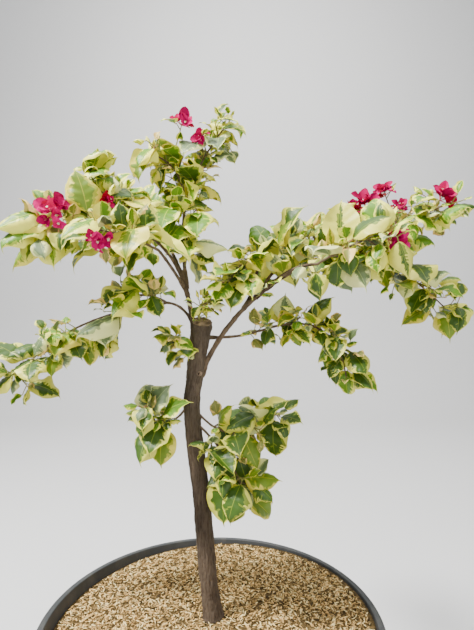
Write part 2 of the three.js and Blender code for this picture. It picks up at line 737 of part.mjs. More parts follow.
// A mass leaves out each twig or leaf that would meet a mass already made, and loose ends
function massSolid(mass, grownWood, crown) {
  const pieces = [
    ...mass.twigs.map((twig) => limbSolid(twig)),
    ...mass.leaves.map(bladeSolid),
    ...mass.blossoms.map(bloomSolid),
  ].filter((piece) => piece.intersect(crown).isEmpty());
  const whole = wasm.Manifold.union([limbSolid(mass.stem), ...pieces]);
  return largestBody(whole.subtract(grownWood).asOriginal().simplify(SMALLEST_EDGE));
}

addPart('pot', potGeometry(), potPlastic);
addPart('mulch', mulchGeometry(), husk);

// Every bough stands clear of the limbs before it, every mass of all limbs and earlier stems
const trunk = limbs.get('trunk');
addPart('trunk', toGeometry(trunkSolid(trunk)), bark);
let grownWood = trunkSolid(trunk, CLEARANCE);
limbs.forEach((limb, name) => {
  if (limb === trunk) return;
  addPart(name, toGeometry(largestBody(limbSolid(limb).subtract(grownWood))), bark);
  grownWood = grownWood.add(limbSolid(limb, CLEARANCE));
});
let crown = grownWood;
masses.forEach((mass) => {
  const solid = massSolid(mass, grownWood, crown);
  addPart(mass.name, toGeometry(solid), foliage);
  grownWood = grownWood.add(limbSolid(mass.stem, CLEARANCE));
  crown = crown.add(solid);
});

export default plant;
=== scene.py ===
# Bougainvillea trained to one stem, with cream-edged leaves, in a round pot of rice husks.
# The plant grows by the frame's own rule, in millimetres; meshes are made from it in metres.
import math

import bpy
import numpy as np
from bpy.props import FloatProperty, FloatVectorProperty, IntProperty, PointerProperty
from mathutils import Matrix, Vector, noise


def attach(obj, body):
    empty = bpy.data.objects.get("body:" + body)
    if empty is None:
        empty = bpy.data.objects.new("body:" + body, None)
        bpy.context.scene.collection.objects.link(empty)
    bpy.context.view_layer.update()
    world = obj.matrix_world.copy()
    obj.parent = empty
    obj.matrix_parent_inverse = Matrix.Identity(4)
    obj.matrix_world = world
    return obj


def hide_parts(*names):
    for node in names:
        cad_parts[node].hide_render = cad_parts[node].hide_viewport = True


bl_info = {
    "name": "Potted bougainvillea",
    "version": (1, 0, 0),
    "blender": (4, 5, 0),
    "location": "3D View > Sidebar > Bougainvillea",
    "description": "Grows a variegated bougainvillea with its pot, mulch, bark, leaves and bracts",
    "category": "Add Mesh",
}

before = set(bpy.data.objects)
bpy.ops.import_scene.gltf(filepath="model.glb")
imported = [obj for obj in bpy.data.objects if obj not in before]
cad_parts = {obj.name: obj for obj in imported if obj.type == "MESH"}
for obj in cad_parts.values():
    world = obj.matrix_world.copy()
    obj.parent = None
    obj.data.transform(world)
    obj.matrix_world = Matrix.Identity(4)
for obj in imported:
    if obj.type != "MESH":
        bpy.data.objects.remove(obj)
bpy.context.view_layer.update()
BODY = "root"
MM = 0.001


def from_srgb(red, green, blue):
    """A linear colour from the 0 to 255 values that an eye would match it with"""
    def linear(value):
        part = value / 255
        return part / 12.92 if part <= 0.04045 else ((part + 0.055) / 1.055) ** 2.4
    return (linear(red), linear(green), linear(blue))


# Routes of limbs, as the frame's solids follow them

TANGENT_STEP = 0.0001
LENGTH_PARTS = 200


def unit(way):
    """The same direction with a length of 1"""
    return way / np.linalg.norm(way)


def lerp(low, high, part):
    """What lies a part of the way from low to high"""
    return low + (high - low) * part


def smoothstep(value, low, high):
    """A soft rise from 0 at low to 1 at high"""
    part = np.clip((value - low) / (high - low), 0, 1)
    return part * part * (3 - 2 * part)


class Route:
    """A way through space, from 0 at its start to 1 at its tip"""

    def tangent(self, at):
        """The direction of the way at a fraction of it"""
        low, high = max(0.0, at - TANGENT_STEP), min(1.0, at + TANGENT_STEP)
        return unit(self.point(high) - self.point(low))

    def spaced(self, parts):
        """Places from start to tip, so many equal parts of the way apart"""
        return np.array([self.point(part / parts) for part in range(parts + 1)])

    def length(self):
        """How long the way is"""
        steps = np.diff(self.spaced(LENGTH_PARTS), axis=0)
        return float(np.linalg.norm(steps, axis=1).sum())


class BentRoute(Route):
    """A bent line from start to tip that passes through the halfway point"""

    def __init__(self, start, half, tip):
        self.start, self.tip = start, tip
        self.control = 2 * half - (start + tip) / 2

    def point(self, at):
        return (1 - at) ** 2 * self.start + 2 * (1 - at) * at * self.control + at * at * self.tip


class FacetedRoute(Route):
    """Another route in straight lengths"""

    def __init__(self, route, rows):
        self.rows = rows
        self.points = route.spaced(rows)

    def point(self, at):
        place = at * self.rows
        index = min(int(place), self.rows - 1)
        return lerp(self.points[index], self.points[index + 1], place - index)


class StraightRoute(Route):
    """A straight line from start to tip"""

    def __init__(self, start, tip):
        self.start, self.tip = start, tip

    def point(self, at):
        return self.start + (self.tip - self.start) * at

    def tangent(self, at):
        return unit(self.tip - self.start)


class LeaningRoute(Route):
    """A smooth curve through all its points"""

    def __init__(self, points):
        points = np.array(points, float)
        before = 2 * points[0] - points[1]
        after = 2 * points[-1] - points[-2]
        self.points = np.vstack([before, points, after])

    def point(self, at):
        spans = len(self.points) - 3
        place = at * spans
        index = min(int(place), spans - 1)
        part = place - index
        p0, p1, p2, p3 = self.points[index:index + 4]
        slope1, slope2 = (p2 - p0) / 2, (p3 - p1) / 2
        square = -3 * p1 + 3 * p2 - 2 * slope1 - slope2
        cube = 2 * p1 - 2 * p2 + slope1 + slope2
        return p1 + slope1 * part + square * part ** 2 + cube * part ** 3


def sides_of(heading):
    """Two directions square to a heading, the first of them level"""
    reference = np.array([0.0, 1, 0]) if abs(heading[2]) > STEEP else UP
    across = unit(np.cross(heading, reference))
    return across, np.cross(across, heading)


def turned(across, over, angle):
    """The direction at an angle from the first towards the second of two directions"""
    return across * math.cos(angle) + over * math.sin(angle)


def wrapped(angle):
    """The same angle as less than half a turn either way"""
    return (angle + math.pi) % math.tau - math.pi


# Sizes of the trunk and the pot in the frame, in millimetres

UP = np.array([0.0, 0, 1])
STEEP = 0.95
CLEARANCE = 0.3
MULCH_LEVEL = 395
MULCH_EDGE_LEVEL = 385
MULCH_EDGE_SWING = 10
MULCH_HIGH_SIDE = math.radians(30)
MULCH_SEAT_RADIUS = 26
POT_HEIGHT = 400
POT_RIM_RADIUS = 272
POT_FOOT_RADIUS = 208
POT_WALL = 4
POT_FLOOR = 5
POT_EDGE_ROUND = 6
LIP_OVERHANG = 8
LIP_DROP = 16

TRUNK_FOOT = MULCH_LEVEL + CLEARANCE
TRUNK_HEIGHT = 499
TRUNK_RADIUS = 15
TRUNK_TAPER = 0.13
FLARE = 4
FLARE_HEIGHT = 16
HEAD_SWELLING = 3.4
HEAD_START = 0.7
HEAD_FULL = 0.92
SAW_TILT = math.radians(24)
SAW_ALLOWANCE = 8
TRUNK_LEAN = (
    (0, 1, 0), (0.17, -9, 3), (0.42, -20, 6), (0.68, -34, 4), (0.82, -29, 0), (1, -16, -4),
)

# Each bough: what carries it and where, a point halfway along, its tip, and its radii
BOUGHS = (
    ("right_bough", "trunk", 0.79, (58, -8, 914), (174, -12, 988), (4.6, 2.6)),
    ("right_inner_bough", "right_bough", 0.5, (70, 8, 949), (76, 10, 984), (2.7, 2.2)),
    ("right_front_bough", "right_bough", 0.68, (128, -40, 968), (163, -70, 973), (2.7, 2.2)),
    ("right_back_bough", "right_bough", 0.6, (127, 55, 994), (199, 110, 1025), (2.9, 2.2)),
    ("lower_right_bough", "trunk", 0.93, (39, 28, 862), (77, 22, 871), (2.6, 2)),
    ("left_bough", "trunk", 0.96, (-39, 0, 920), (-49, 0, 970), (4.2, 3.2)),
    ("top_bough", "left_bough", 0.82, (-51, 18, 1040), (-45, 22, 1089), (2.9, 2.2)),
    ("left_outer_bough", "left_bough", 0.92, (-81, -20, 1009), (-113, -35, 1026), (2.9, 2.2)),
    ("left_front_bough", "left_bough", 0.7, (-66, -55, 978), (-76, -85, 992), (2.6, 2)),
    ("left_back_bough", "left_bough", 0.88, (-88, 60, 1034), (-125, 110, 1073), (2.8, 2.2)),
    ("low_left_bough", "trunk", 0.965, (-50, -4, 908), (-76, -8, 918), (2.6, 2)),
)

# Each mass: its limb, its place on the trunk, a point halfway along its stem, the stem's tip, the
# length of its side twigs, the size of its leaves, its reach, its seed, the bare part of its stem,
# and its blooms with their sizes
MASSES = (
    ("top_right_foliage", "top_bough", None, (-22, 12, 1150), (20, -5, 1208),
     26, 0.75, 72, 1363, 0, (((-19, -15, 1186), 0.6),)),
    ("top_left_foliage", "top_bough", None, (-62, 20, 1142), (-94, 8, 1166),
     28, 0.85, 80, 2585, 0, (((-50, 5, 1223), 0.75),)),
    ("left_far_foliage", "left_outer_bough", None, (-185, -55, 1036), (-266, -50, 1030),
     34, 1.15, 92, 2169, 0, (((-236, -80, 1050), 0.95), ((-218, -95, 1028), 0.45))),
    ("left_upper_foliage", "left_outer_bough", None, (-157, -25, 1078), (-204, -10, 1115),
     34, 1, 84, 2052, 0, (((-157, -60, 1068), 0.6),)),
    ("left_front_foliage", "left_front_bough", None, (-110, -120, 1004), (-148, -140, 1010),
     30, 1, 78, 661, 0, (((-143, -150, 994), 0.65),)),
    ("left_back_foliage", "left_back_bough", None, (-185, 160, 1124), (-237, 200, 1156),
     36, 1, 84, 2247, 0, ()),
    ("left_inner_foliage", "left_bough", None, (-42, 0, 1023), (-48, -12, 1068),
     34, 1, 86, 622, 0, ()),
    ("low_left_outer_foliage", "low_left_bough", None, (-127, -18, 928), (-170, -25, 886),
     26, 1, 80, 375, 0, ()),
    ("left_edge_foliage", "low_left_bough", None, (-226, -5, 876), (-322, 0, 796),
     26, 0.8, 84, 934, 0.45, ()),
    ("low_left_inner_foliage", "trunk", 0.87, (-48, -10, 846), (-62, -20, 862),
     10, 0.8, 52, 2338, 0, ()),
    ("right_tip_foliage", "right_bough", None, (273, -20, 1032), (372, -30, 1072),
     30, 0.75, 80, 76, 0,
     (((252, -5, 1081), 0.9), ((286, 0, 1103), 0.75), ((306, -15, 1070), 0.6),
      ((370, -30, 1086), 0.75))),
    ("right_outer_foliage", "right_bough", None, (275, -15, 984), (380, -10, 912),
     32, 0.8, 80, 3014, 0, ()),
    ("right_inner_foliage", "right_inner_bough", None, (54, -2, 986), (28, -20, 952),
     28, 0.9, 74, 414, 0, ()),
    ("right_upper_foliage", "right_inner_bough", None, (103, 18, 1016), (150, 10, 1026),
     28, 0.95, 88, 856, 0, ()),
    ("right_front_foliage", "right_front_bough", None, (206, -95, 996), (243, -105, 1009),
     34, 0.95, 90, 2481, 0, (((269, -85, 1008), 0.85),)),
    ("right_back_foliage", "right_back_bough", None, (267, 150, 1062), (349, 190, 1059),
     34, 0.9, 84, 2559, 0, (((270, 150, 1110), 0.8),)),
    ("middle_back_foliage", "right_back_bough", None, (188, 160, 1054), (154, 210, 1052),
     34, 0.9, 84, 284, 0, ()),
    ("lower_right_foliage", "lower_right_bough", None, (177, 5, 876), (223, 0, 796),
     18, 0.72, 72, 2338, 0, ()),
    ("low_left_foliage", "trunk", 0.66, (-69, -10, 720), (-105, -20, 735),
     24, 0.85, 84, 2078, 0.25, ()),
    ("low_right_upper_foliage", "trunk", 0.63, (26, -5, 704), (95, -5, 733),
     24, 0.85, 80, 2689, 0.2, ()),
    ("low_right_lower_foliage", "trunk", 0.58, (23, -15, 667), (50, -25, 615),
     28, 0.9, 84, 6550, 0.15, ()),
    ("head_foliage", "trunk", 0.965, (-22, -16, 908), (-2, -22, 919),
     12, 0.55, 46, 1233, 0, ()),
)


# The rule of growth: how leaves and twigs spring from what carries them, in millimetres

LEAF_LENGTH = 78
LEAF_WIDTH = 0.7
LEAF_WIDEST = 0.44
BRACT_LENGTH = 31
BRACT_WIDTH = 0.74
BRACTS = 3
BRACT_SPREAD = 0.82
BRACT_RISE = 0.57
STEM_RADIUS = 1.3
TWIG_RADIUS = 0.9
NODE_STEP = 20
BOUGH_ROOT = 0.7
STEM_STEP = 22
STEM_ROWS = 3
GOLDEN_ANGLE = math.radians(137.5)
LEAF_DROOP = (0.25, 1.3)
LEAF_FORWARD = 0.35
LEAF_FACING = 0.5
LEAF_LIGHT = 0.9
LEAF_ROLL = 0.8
LEAF_SIZES = (0.66, 1.3)
LEAF_ATTEMPTS = 5
END_LEAVES = 3
TWIG_FORWARD = 0.6
TWIG_RISE = 0.15
TWIG_SIZES = (0.6, 1.1)
TWIG_ATTEMPTS = 3
TWIG_LEAVES = (0.55, 1)
BLOOM_SETBACK = 0.9
OPEN_STEPS = 4
OPEN_STEP = 20
OPEN_WIDTH = 0.62
HEAD_OPEN_AT = 0.97
HEAD_OPEN_WIDTH = 15
TIP_SPREAD = 1.5
BLADE_GAP = 5
TWIG_GAP = 2
ROOT_PART = 0.2
BLADE_DOT_ROWS = (0.25, 0.45, 0.65, 0.85, 1)
BLADE_DOT_COLUMNS = (-0.9, 0, 0.9)
LIMB_DOT_STEP = 5
TWIG_DOT_STEP = 6
TWIG_CHECKS = 4
LIGHT_SIDE = np.array([-0.2, -1, 0.3])
SEEN_FROM = np.array([41.0, -758, 878])

# The finer growth that the frame leaves out: young leaves on short shoots, closer together
YOUNG_SIZES = (0.28, 0.6)
YOUNG_GAP = 2.2
YOUNG_SPOTS = (0.2, 0.5, 0.8)
YOUNG_STEM_SPOTS = 14
YOUNG_ATTEMPTS = 9
YOUNG_SHARE = 0.85
YOUNG_RISE = 0.25
YOUNG_SEED = 77
SHOOT_SIZES = (8, 17)
BARE_BOUGH = 0.5
BOUGH_SHOOT_STEP = 9
BOUGH_LEAF_SIZES = (0.5, 0.95)
LEAFY_BOUGHS = ("right_bough", "right_inner_bough", "right_front_bough", "right_back_bough",
                "lower_right_bough", "top_bough", "left_back_bough")

CHANCE_FACTOR = 48271
CHANCE_LIMIT = 2147483647


def seeded(seed):
    """The rule's own chance, from 0 to 1, the same at every run"""
    state = seed

    def draw():
        nonlocal state
        state = (state * CHANCE_FACTOR) % CHANCE_LIMIT
        return state / CHANCE_LIMIT
    return draw


def trunk_radius(at):
    """Tapering, flared at the foot and swollen below the sawn head"""
    foot = FLARE * np.exp((-at * TRUNK_HEIGHT) / FLARE_HEIGHT)
    head = HEAD_SWELLING * smoothstep(at, HEAD_START, HEAD_FULL)
    return TRUNK_RADIUS * (1 - TRUNK_TAPER * at) + foot + head


def tapered(start, end):
    """A radius that goes evenly from start to end"""
    return lambda at: start + (end - start) * at


def aside_to(route, at, point):
    """The way from a place on a limb towards a point, square to the limb"""
    heading = route.tangent(at)
    aside = point - route.point(at)
    return unit(aside - heading * aside.dot(heading))


def spearhead(part):
    """Half width of a blade's flat space at fractions of its length, 1 where it is widest"""
    rise = np.where(part < LEAF_WIDEST, part / LEAF_WIDEST, (1 - part) / (1 - LEAF_WIDEST))
    return np.maximum(0, rise)


class Limb:
    """The trunk or a bough: its route, and its radius at fractions of it"""

    def __init__(self, route, radius_at):
        self.route, self.radius_at = route, radius_at


class Blade:
    """The flat space that a leaf or bract fills: where it springs, its directions and its size"""

    def __init__(self, root, heading, face, length, ratio):
        self.root = root
        self.along = unit(heading)
        self.normal = unit(face - self.along * face.dot(self.along))
        self.across = np.cross(self.along, self.normal)
        self.length = length
        self.width = length * ratio

    def place(self, along, across):
        """A place on the blade, so far from its root and so far to the side"""
        return self.root + self.along * along + self.across * across

    def half_width(self, along):
        """Half the width of the space so far from the root"""
        return self.width / 2 * spearhead(along / self.length)

    def dots(self):
        """Places all over the blade to test against others"""
        places = []
        for part in BLADE_DOT_ROWS:
            half = self.half_width(part * self.length)
            places += [self.place(part * self.length, side * half) for side in BLADE_DOT_COLUMNS]
        return np.array(places)


class Mass:
    """One mass of foliage: its stem and what grows from it"""

    def __init__(self, row, index, limb):
        name, _, at, half, tip, twig, leaf, reach, seed, bare, blooms = row
        self.name, self.index, self.limb, self.twig, self.leaf = name, index, limb, twig, leaf
        self.reach, self.seed, self.bare, self.blooms = reach, seed, bare, blooms
        half, tip = np.array(half, float), np.array(tip, float)
        start = limb.route.point(1 if at is None else at)
        if at is None:
            start = start + aside_to(limb.route, 1, half) * TIP_SPREAD
        bent = BentRoute(start, half, tip)
        self.route = FacetedRoute(bent, max(STEM_ROWS, round(bent.length() / STEM_STEP)))
        self.on_trunk = at is not None
        self.twigs, self.leaves, self.blossoms, self.young, self.shoots = [], [], [], [], []


class Plant:
    """All that has grown, with dots along limbs and twigs and over the blades to test against"""

    def __init__(self):
        self.limbs = {"trunk": Limb(self.trunk_route(), trunk_radius)}
        for name, carrier, at, half, tip, radii in BOUGHS:
            holder = self.limbs[carrier]
            half, tip = np.array(half, float), np.array(tip, float)
            aside = aside_to(holder.route, at, half)
            start = holder.route.point(at) + aside * BOUGH_ROOT * holder.radius_at(at)
            self.limbs[name] = Limb(BentRoute(start, half, tip), tapered(*radii))
        self.masses = [Mass(row, index, self.limbs[row[1]]) for index, row in enumerate(MASSES)]
        points = [mass.route.points for mass in self.masses]
        self.stem_points = np.vstack(points)
        self.stem_starts = np.cumsum([0] + [len(group) for group in points[:-1]])
        self.reaches = np.array([mass.reach for mass in self.masses], float)
        self.dot_places = np.zeros((0, 3))
        self.dot_radii, self.dot_owners = np.zeros(0), np.zeros(0)
        self.blades = []
        self.blade_table = {}

    @staticmethod
    def trunk_route():
        """The leaning line from the mulch to the head"""
        return LeaningRoute([(x, y, TRUNK_FOOT + at * TRUNK_HEIGHT) for at, x, y in TRUNK_LEAN])

    def add_dots(self, places, radius, owner):
        """From now on these places are taken, each with room round it"""
        self.dot_places = np.vstack([self.dot_places, places])
        self.dot_radii = np.append(self.dot_radii, np.full(len(places), float(radius)))
        self.dot_owners = np.append(self.dot_owners, np.full(len(places), owner))

    def add_route_dots(self, route, radius, step, owner):
        """From now on this route is taken"""
        count = max(2, math.ceil(route.length() / step))
        self.add_dots(route.spaced(count), radius, owner)

    def stand(self, blade, owner):
        """From now on nothing may touch this blade"""
        self.blades.append(blade)
        self.add_dots(blade.dots(), 0, owner)
        for key in ("root", "along", "across", "normal", "length", "width"):
            rows = [getattr(item, key) for item in self.blades]
            self.blade_table[key] = np.array(rows)

    def relative_distances(self, place):
        """How far a place is from each mass's stem, as a part of that mass's reach"""
        gaps = np.linalg.norm(self.stem_points - place, axis=1)
        return np.minimum.reduceat(gaps, self.stem_starts) / self.reaches

    def is_in_space(self, place, mass):
        """Whether a place is within a mass's reach and nearer to it than to any other mass"""
        parts = self.relative_distances(place)
        own = parts[mass.index]
        return own < 1 and np.delete(parts, mass.index).min() > own

    def blades_on(self, places, radius, gap):
        """Whether any of the places lies on a blade that stands already"""
        if not self.blades:
            return False
        table = self.blade_table
        offset = places[:, None, :] - table["root"][None]
        along = (offset * table["along"]).sum(2)
        half = table["width"] / 2 * spearhead(along / table["length"]) + radius
        inside = (along >= ROOT_PART * table["length"]) & (along <= table["length"] + radius)
        inside &= np.abs((offset * table["across"]).sum(2)) < half
        inside &= np.abs((offset * table["normal"]).sum(2)) < radius + gap
        return bool(inside.any())

    def dots_on(self, blade, gap):
        """Whether anything that stands already lies on this blade"""
        offset = self.dot_places - blade.root
        along = offset @ blade.along
        half = blade.half_width(along) + self.dot_radii
        inside = (along >= ROOT_PART * blade.length) & (along <= blade.length + self.dot_radii)
        inside &= np.abs(offset @ blade.across) < half
        inside &= np.abs(offset @ blade.normal) < self.dot_radii + gap
        return bool(inside.any())

    def blade_fits(self, blade, mass, gap=BLADE_GAP):
        """Whether a blade is within its mass's space and touches nothing"""
        widest = LEAF_WIDEST * blade.length
        rim = (blade.place(blade.length, 0), blade.place(widest, blade.width / 2),
               blade.place(widest, -blade.width / 2))
        if any(self.relative_distances(place)[mass.index] > 1 for place in rim):
            return False
        if not self.is_in_space(blade.place(widest, 0), mass):
            return False
        return not self.dots_on(blade, gap) and not self.blades_on(blade.dots(), 0, gap)

    def twig_fits(self, route, mass):
        """Whether a twig is within its mass's space and touches nothing of another mass"""
        for index in range(1, TWIG_CHECKS + 1):
            place = route.point(index / TWIG_CHECKS)
            if not self.is_in_space(place, mass):
                return False
            if self.blades_on(place[None], TWIG_RADIUS + CLEARANCE, BLADE_GAP):
                return False
            others = self.dot_owners != mass.index
            gaps = np.linalg.norm(self.dot_places[others] - place, axis=1)
            if (gaps < self.dot_radii[others] + TWIG_RADIUS + TWIG_GAP).any():
                return False
        return True

    def try_leaf(self, mass, root, heading, turn, draw):
        """A leaf springs from a twig at a turn about its heading, reaches forward and droops"""
        across, over = sides_of(heading)
        for attempt in range(LEAF_ATTEMPTS):
            outward = turned(across, over, turn + attempt * GOLDEN_ANGLE)
            along = outward + heading * LEAF_FORWARD - UP * lerp(*LEAF_DROOP, draw())
            face = UP + outward * LEAF_FACING + LIGHT_SIDE * LEAF_LIGHT
            face = face + across * LEAF_ROLL * (draw() - 0.5)
            length = LEAF_LENGTH * mass.leaf * lerp(*LEAF_SIZES, draw())
            blade = Blade(root, along, face, length, LEAF_WIDTH)
            if self.blade_fits(blade, mass):
                self.stand(blade, mass.index)
                mass.leaves.append(blade)
                return

    def grow_twig(self, mass, root, heading, turn, length, draw):
        """A side twig with its leaves, turned about the stem until it finds room"""
        across, over = sides_of(heading)
        for attempt in range(TWIG_ATTEMPTS):
            outward = turned(across, over, turn + attempt * GOLDEN_ANGLE)
            way = unit(outward + heading * TWIG_FORWARD + UP * TWIG_RISE)
            route = StraightRoute(root, root + way * length)
            if self.twig_fits(route, mass):
                mass.twigs.append(route)
                self.add_route_dots(route, TWIG_RADIUS, TWIG_DOT_STEP, mass.index)
                for index, at in enumerate(TWIG_LEAVES):
                    turn_here = turn + index * GOLDEN_ANGLE
                    self.try_leaf(mass, route.point(at), route.tangent(at), turn_here, draw)
                return

    def grow_bloom(self, mass, place, size):
        """A ring of bracts spread from the end of its own twig, with no leaf before it"""
        centre = np.array(place, float)
        nearest = np.linalg.norm(mass.route.points - centre, axis=1).argmin() / mass.route.rows
        route = StraightRoute(mass.route.point(nearest * BLOOM_SETBACK), centre)
        mass.twigs.append(route)
        self.add_route_dots(route, TWIG_RADIUS, TWIG_DOT_STEP, mass.index)
        heading = route.tangent(1)
        across, over = sides_of(heading)
        mass.blossoms.append((centre, heading, across, over, size))
        reach = BRACT_LENGTH * size
        for bract in range(BRACTS):
            outward = turned(across, over, bract * math.tau / BRACTS)
            along = heading * BRACT_RISE + outward * BRACT_SPREAD
            self.stand(Blade(centre, along, heading, reach, BRACT_WIDTH), mass.index)
        self.keep_open(centre + heading * reach * BRACT_RISE, OPEN_WIDTH * reach, mass.index)

    def keep_open(self, seen, radius, owner):
        """Nothing grows across the way from the viewer to a bloom or to the trunk's head"""
        open_way = unit(SEEN_FROM - seen)
        places = [seen + open_way * step * OPEN_STEP for step in range(1, OPEN_STEPS + 1)]
        self.add_dots(places, radius, owner)

    def grow_mass(self, mass):
        """Twigs and leaves from node to node along the stem, and leaves at its end"""
        draw = seeded(mass.seed)
        nodes = max(2, round(mass.route.length() * (1 - mass.bare) / (NODE_STEP * mass.leaf)))
        for node in range(1, nodes + 1):
            at = lerp(mass.bare, 1, node / nodes)
            root, heading = mass.route.point(at), mass.route.tangent(at)
            turn = mass.index + node * GOLDEN_ANGLE
            length = mass.twig * lerp(*TWIG_SIZES, draw())
            self.grow_twig(mass, root, heading, turn, length, draw)
            self.try_leaf(mass, root, heading, turn + math.pi, draw)
        for leaf in range(END_LEAVES):
            end, heading = mass.route.point(1), mass.route.tangent(1)
            self.try_leaf(mass, end, heading, leaf * GOLDEN_ANGLE, draw)

    def grow_young(self, mass):
        """Short shoots with small leaves fill in between, on the stem, the twigs and their ends"""
        draw = seeded(mass.seed + YOUNG_SEED)
        steps = range(round(mass.bare * YOUNG_STEM_SPOTS) + 1, YOUNG_STEM_SPOTS + 1)
        carriers = [(mass.route, step / YOUNG_STEM_SPOTS) for step in steps]
        carriers += [(twig, at) for twig in mass.twigs for at in (*YOUNG_SPOTS, 1)]
        for number, (route, at) in enumerate(carriers):
            if at == 1 or draw() < YOUNG_SHARE:
                self.grow_shoot(mass, route, at, number, YOUNG_SIZES, draw)

    def grow_shoot(self, mass, route, at, number, sizes, draw):
        """A short shoot with one leaf, turned about its carrier until it finds room"""
        root, heading = route.point(at), route.tangent(at)
        across, over = sides_of(heading)
        for attempt in range(YOUNG_ATTEMPTS):
            outward = turned(across, over, mass.index + (number + attempt) * GOLDEN_ANGLE)
            shoot = unit(outward + heading * TWIG_FORWARD) * lerp(*SHOOT_SIZES, draw())
            along = outward + heading * LEAF_FORWARD - UP * (draw() - YOUNG_RISE)
            face = UP + outward * LEAF_FACING + LIGHT_SIDE * LEAF_LIGHT * draw()
            length = LEAF_LENGTH * mass.leaf * lerp(*sizes, draw())
            blade = Blade(root + shoot, along, face, length, LEAF_WIDTH)
            if self.blade_fits(blade, mass, YOUNG_GAP):
                self.stand(blade, mass.index)
                mass.young.append(blade)
                mass.shoots.append(StraightRoute(root, root + shoot))
                return

    def grow_on_bough(self, limb, seed):
        """Shoots on the outer part of a bough, within the reach of the mass that is nearest"""
        draw = seeded(seed)
        count = round(limb.route.length() * (1 - BARE_BOUGH) / BOUGH_SHOOT_STEP)
        for number in range(1, count + 1):
            at = lerp(BARE_BOUGH, 1, number / count)
            mass = self.masses[self.relative_distances(limb.route.point(at)).argmin()]
            self.grow_shoot(mass, limb.route, at, number, BOUGH_LEAF_SIZES, draw)

    def grow(self):
        """The whole plant, in the order of the frame, and then the finer growth"""
        for owner, limb in enumerate(self.limbs.values()):
            radius = limb.radius_at(0) + CLEARANCE
            self.add_route_dots(limb.route, radius, LIMB_DOT_STEP, -1 - owner)
        for mass in self.masses:
            self.add_route_dots(mass.route, STEM_RADIUS, TWIG_DOT_STEP, mass.index)
        head = self.limbs["trunk"].route.point(HEAD_OPEN_AT)
        self.keep_open(head, HEAD_OPEN_WIDTH, -1)
        for mass in self.masses:
            for place, size in mass.blooms:
                self.grow_bloom(mass, place, size)
        for mass in self.masses:
            self.grow_mass(mass)
        for number, name in enumerate(LEAFY_BOUGHS):
            self.grow_on_bough(self.limbs[name], YOUNG_SEED + number)
        for mass in self.masses:
            self.grow_young(mass)
        return self


plant = Plant().grow()


# Meshes: rows of corners joined into faces, gathered in metres

DOME = 0.6


def add_to_scene(name, data):
    """A new object, linked to the scene"""
    thing = bpy.data.objects.new(name, data)
    bpy.context.scene.collection.objects.link(thing)
    return thing


class Sheet:
    """Corners, faces and the material slot of each face, for one joined piece"""

    def __init__(self):
        self.corners, self.faces, self.slots = [], [], []
        self.start, self.count = 0, 0

    def add(self, corners, faces, slots):
        """Corners in millimetres with the faces between them"""
        self.start = self.count
        self.corners.append(np.asarray(corners) * MM)
        self.count += len(corners)
        self.add_faces(faces, slots)

    def add_faces(self, faces, slots):
        """More faces on the corners that were added last"""
        self.faces.append(np.asarray(faces) + self.start)
        self.slots.append(np.broadcast_to(slots, len(faces)))

    def piece(self, name, materials, slot, replaced=()):
        """The mesh of all that was added, riding on the body in place of the replaced nodes"""
        if not self.corners:
            raise RuntimeError(f"{name} has no faces")
        corners = np.concatenate(self.corners)
        faces = [tuple(face) for group in self.faces for face in group.tolist()]
        mesh = bpy.data.meshes.new(name)
        mesh.from_pydata(corners.tolist(), [], faces)
        mesh.polygons.foreach_set("material_index", np.concatenate(self.slots).astype(np.int32))
        mesh.polygons.foreach_set("use_smooth", np.full(len(faces), True))
        for material in materials:
            mesh.materials.append(material)
        mesh.update()
        piece = add_to_scene(name, mesh)
        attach(piece, BODY)
        if replaced:
            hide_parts(*replaced)


def grid_faces(rows, columns, closed=False):
    """Faces of a grid of corners, rows by columns, joined round where it is closed"""
    wide = columns if closed else columns - 1
    row, column = np.meshgrid(np.arange(rows - 1), np.arange(wide), indexing="ij")
    low, after = row * columns + column, row * columns + (column + 1) % columns
    return np.stack([low, after, after + columns, low + columns], -1).reshape(-1, 4)


def fan(sides, start, tip):
    """Triangles from a ring of corners to one corner"""
    return np.array([(start + side, start + (side + 1) % sides, tip) for side in range(sides)])


def add_pointed(sheet, corners, slots):
    """A blade from rows of corners, of which the first row and the last are one place each"""
    columns = corners.shape[1]
    body = corners[1:-1].reshape(-1, 3)
    tip = len(body) + 1
    last = np.arange(tip - columns, tip - 1)
    first = np.arange(1, columns)
    sheet.add(np.vstack([corners[:1, 0], body, corners[-1:, 0]]),
              grid_faces(len(corners) - 2, columns) + 1, slots[1:-1].ravel())
    sheet.add_faces(np.stack([np.zeros_like(first), first + 1, first], -1), slots[0])
    sheet.add_faces(np.stack([last, last + 1, np.full_like(last, tip)], -1), slots[-1])


def integrated(slope, step):
    """How far a line runs along and rises, given its slope after each step"""
    return [np.concatenate([[0], np.cumsum(part(slope[:-1]) * step)]) for part in (np.cos, np.sin)]


def carried_frames(points):
    """Headings along a row of points, and two directions square to each that turn little"""
    headings = np.gradient(points, axis=0)
    headings /= np.linalg.norm(headings, axis=1)[:, None]
    across = sides_of(headings[0])[0]
    sides = []
    for heading in headings:
        across = unit(across - heading * across.dot(heading))
        sides.append(across)
    sides = np.array(sides)
    return headings, sides, np.cross(sides, headings)


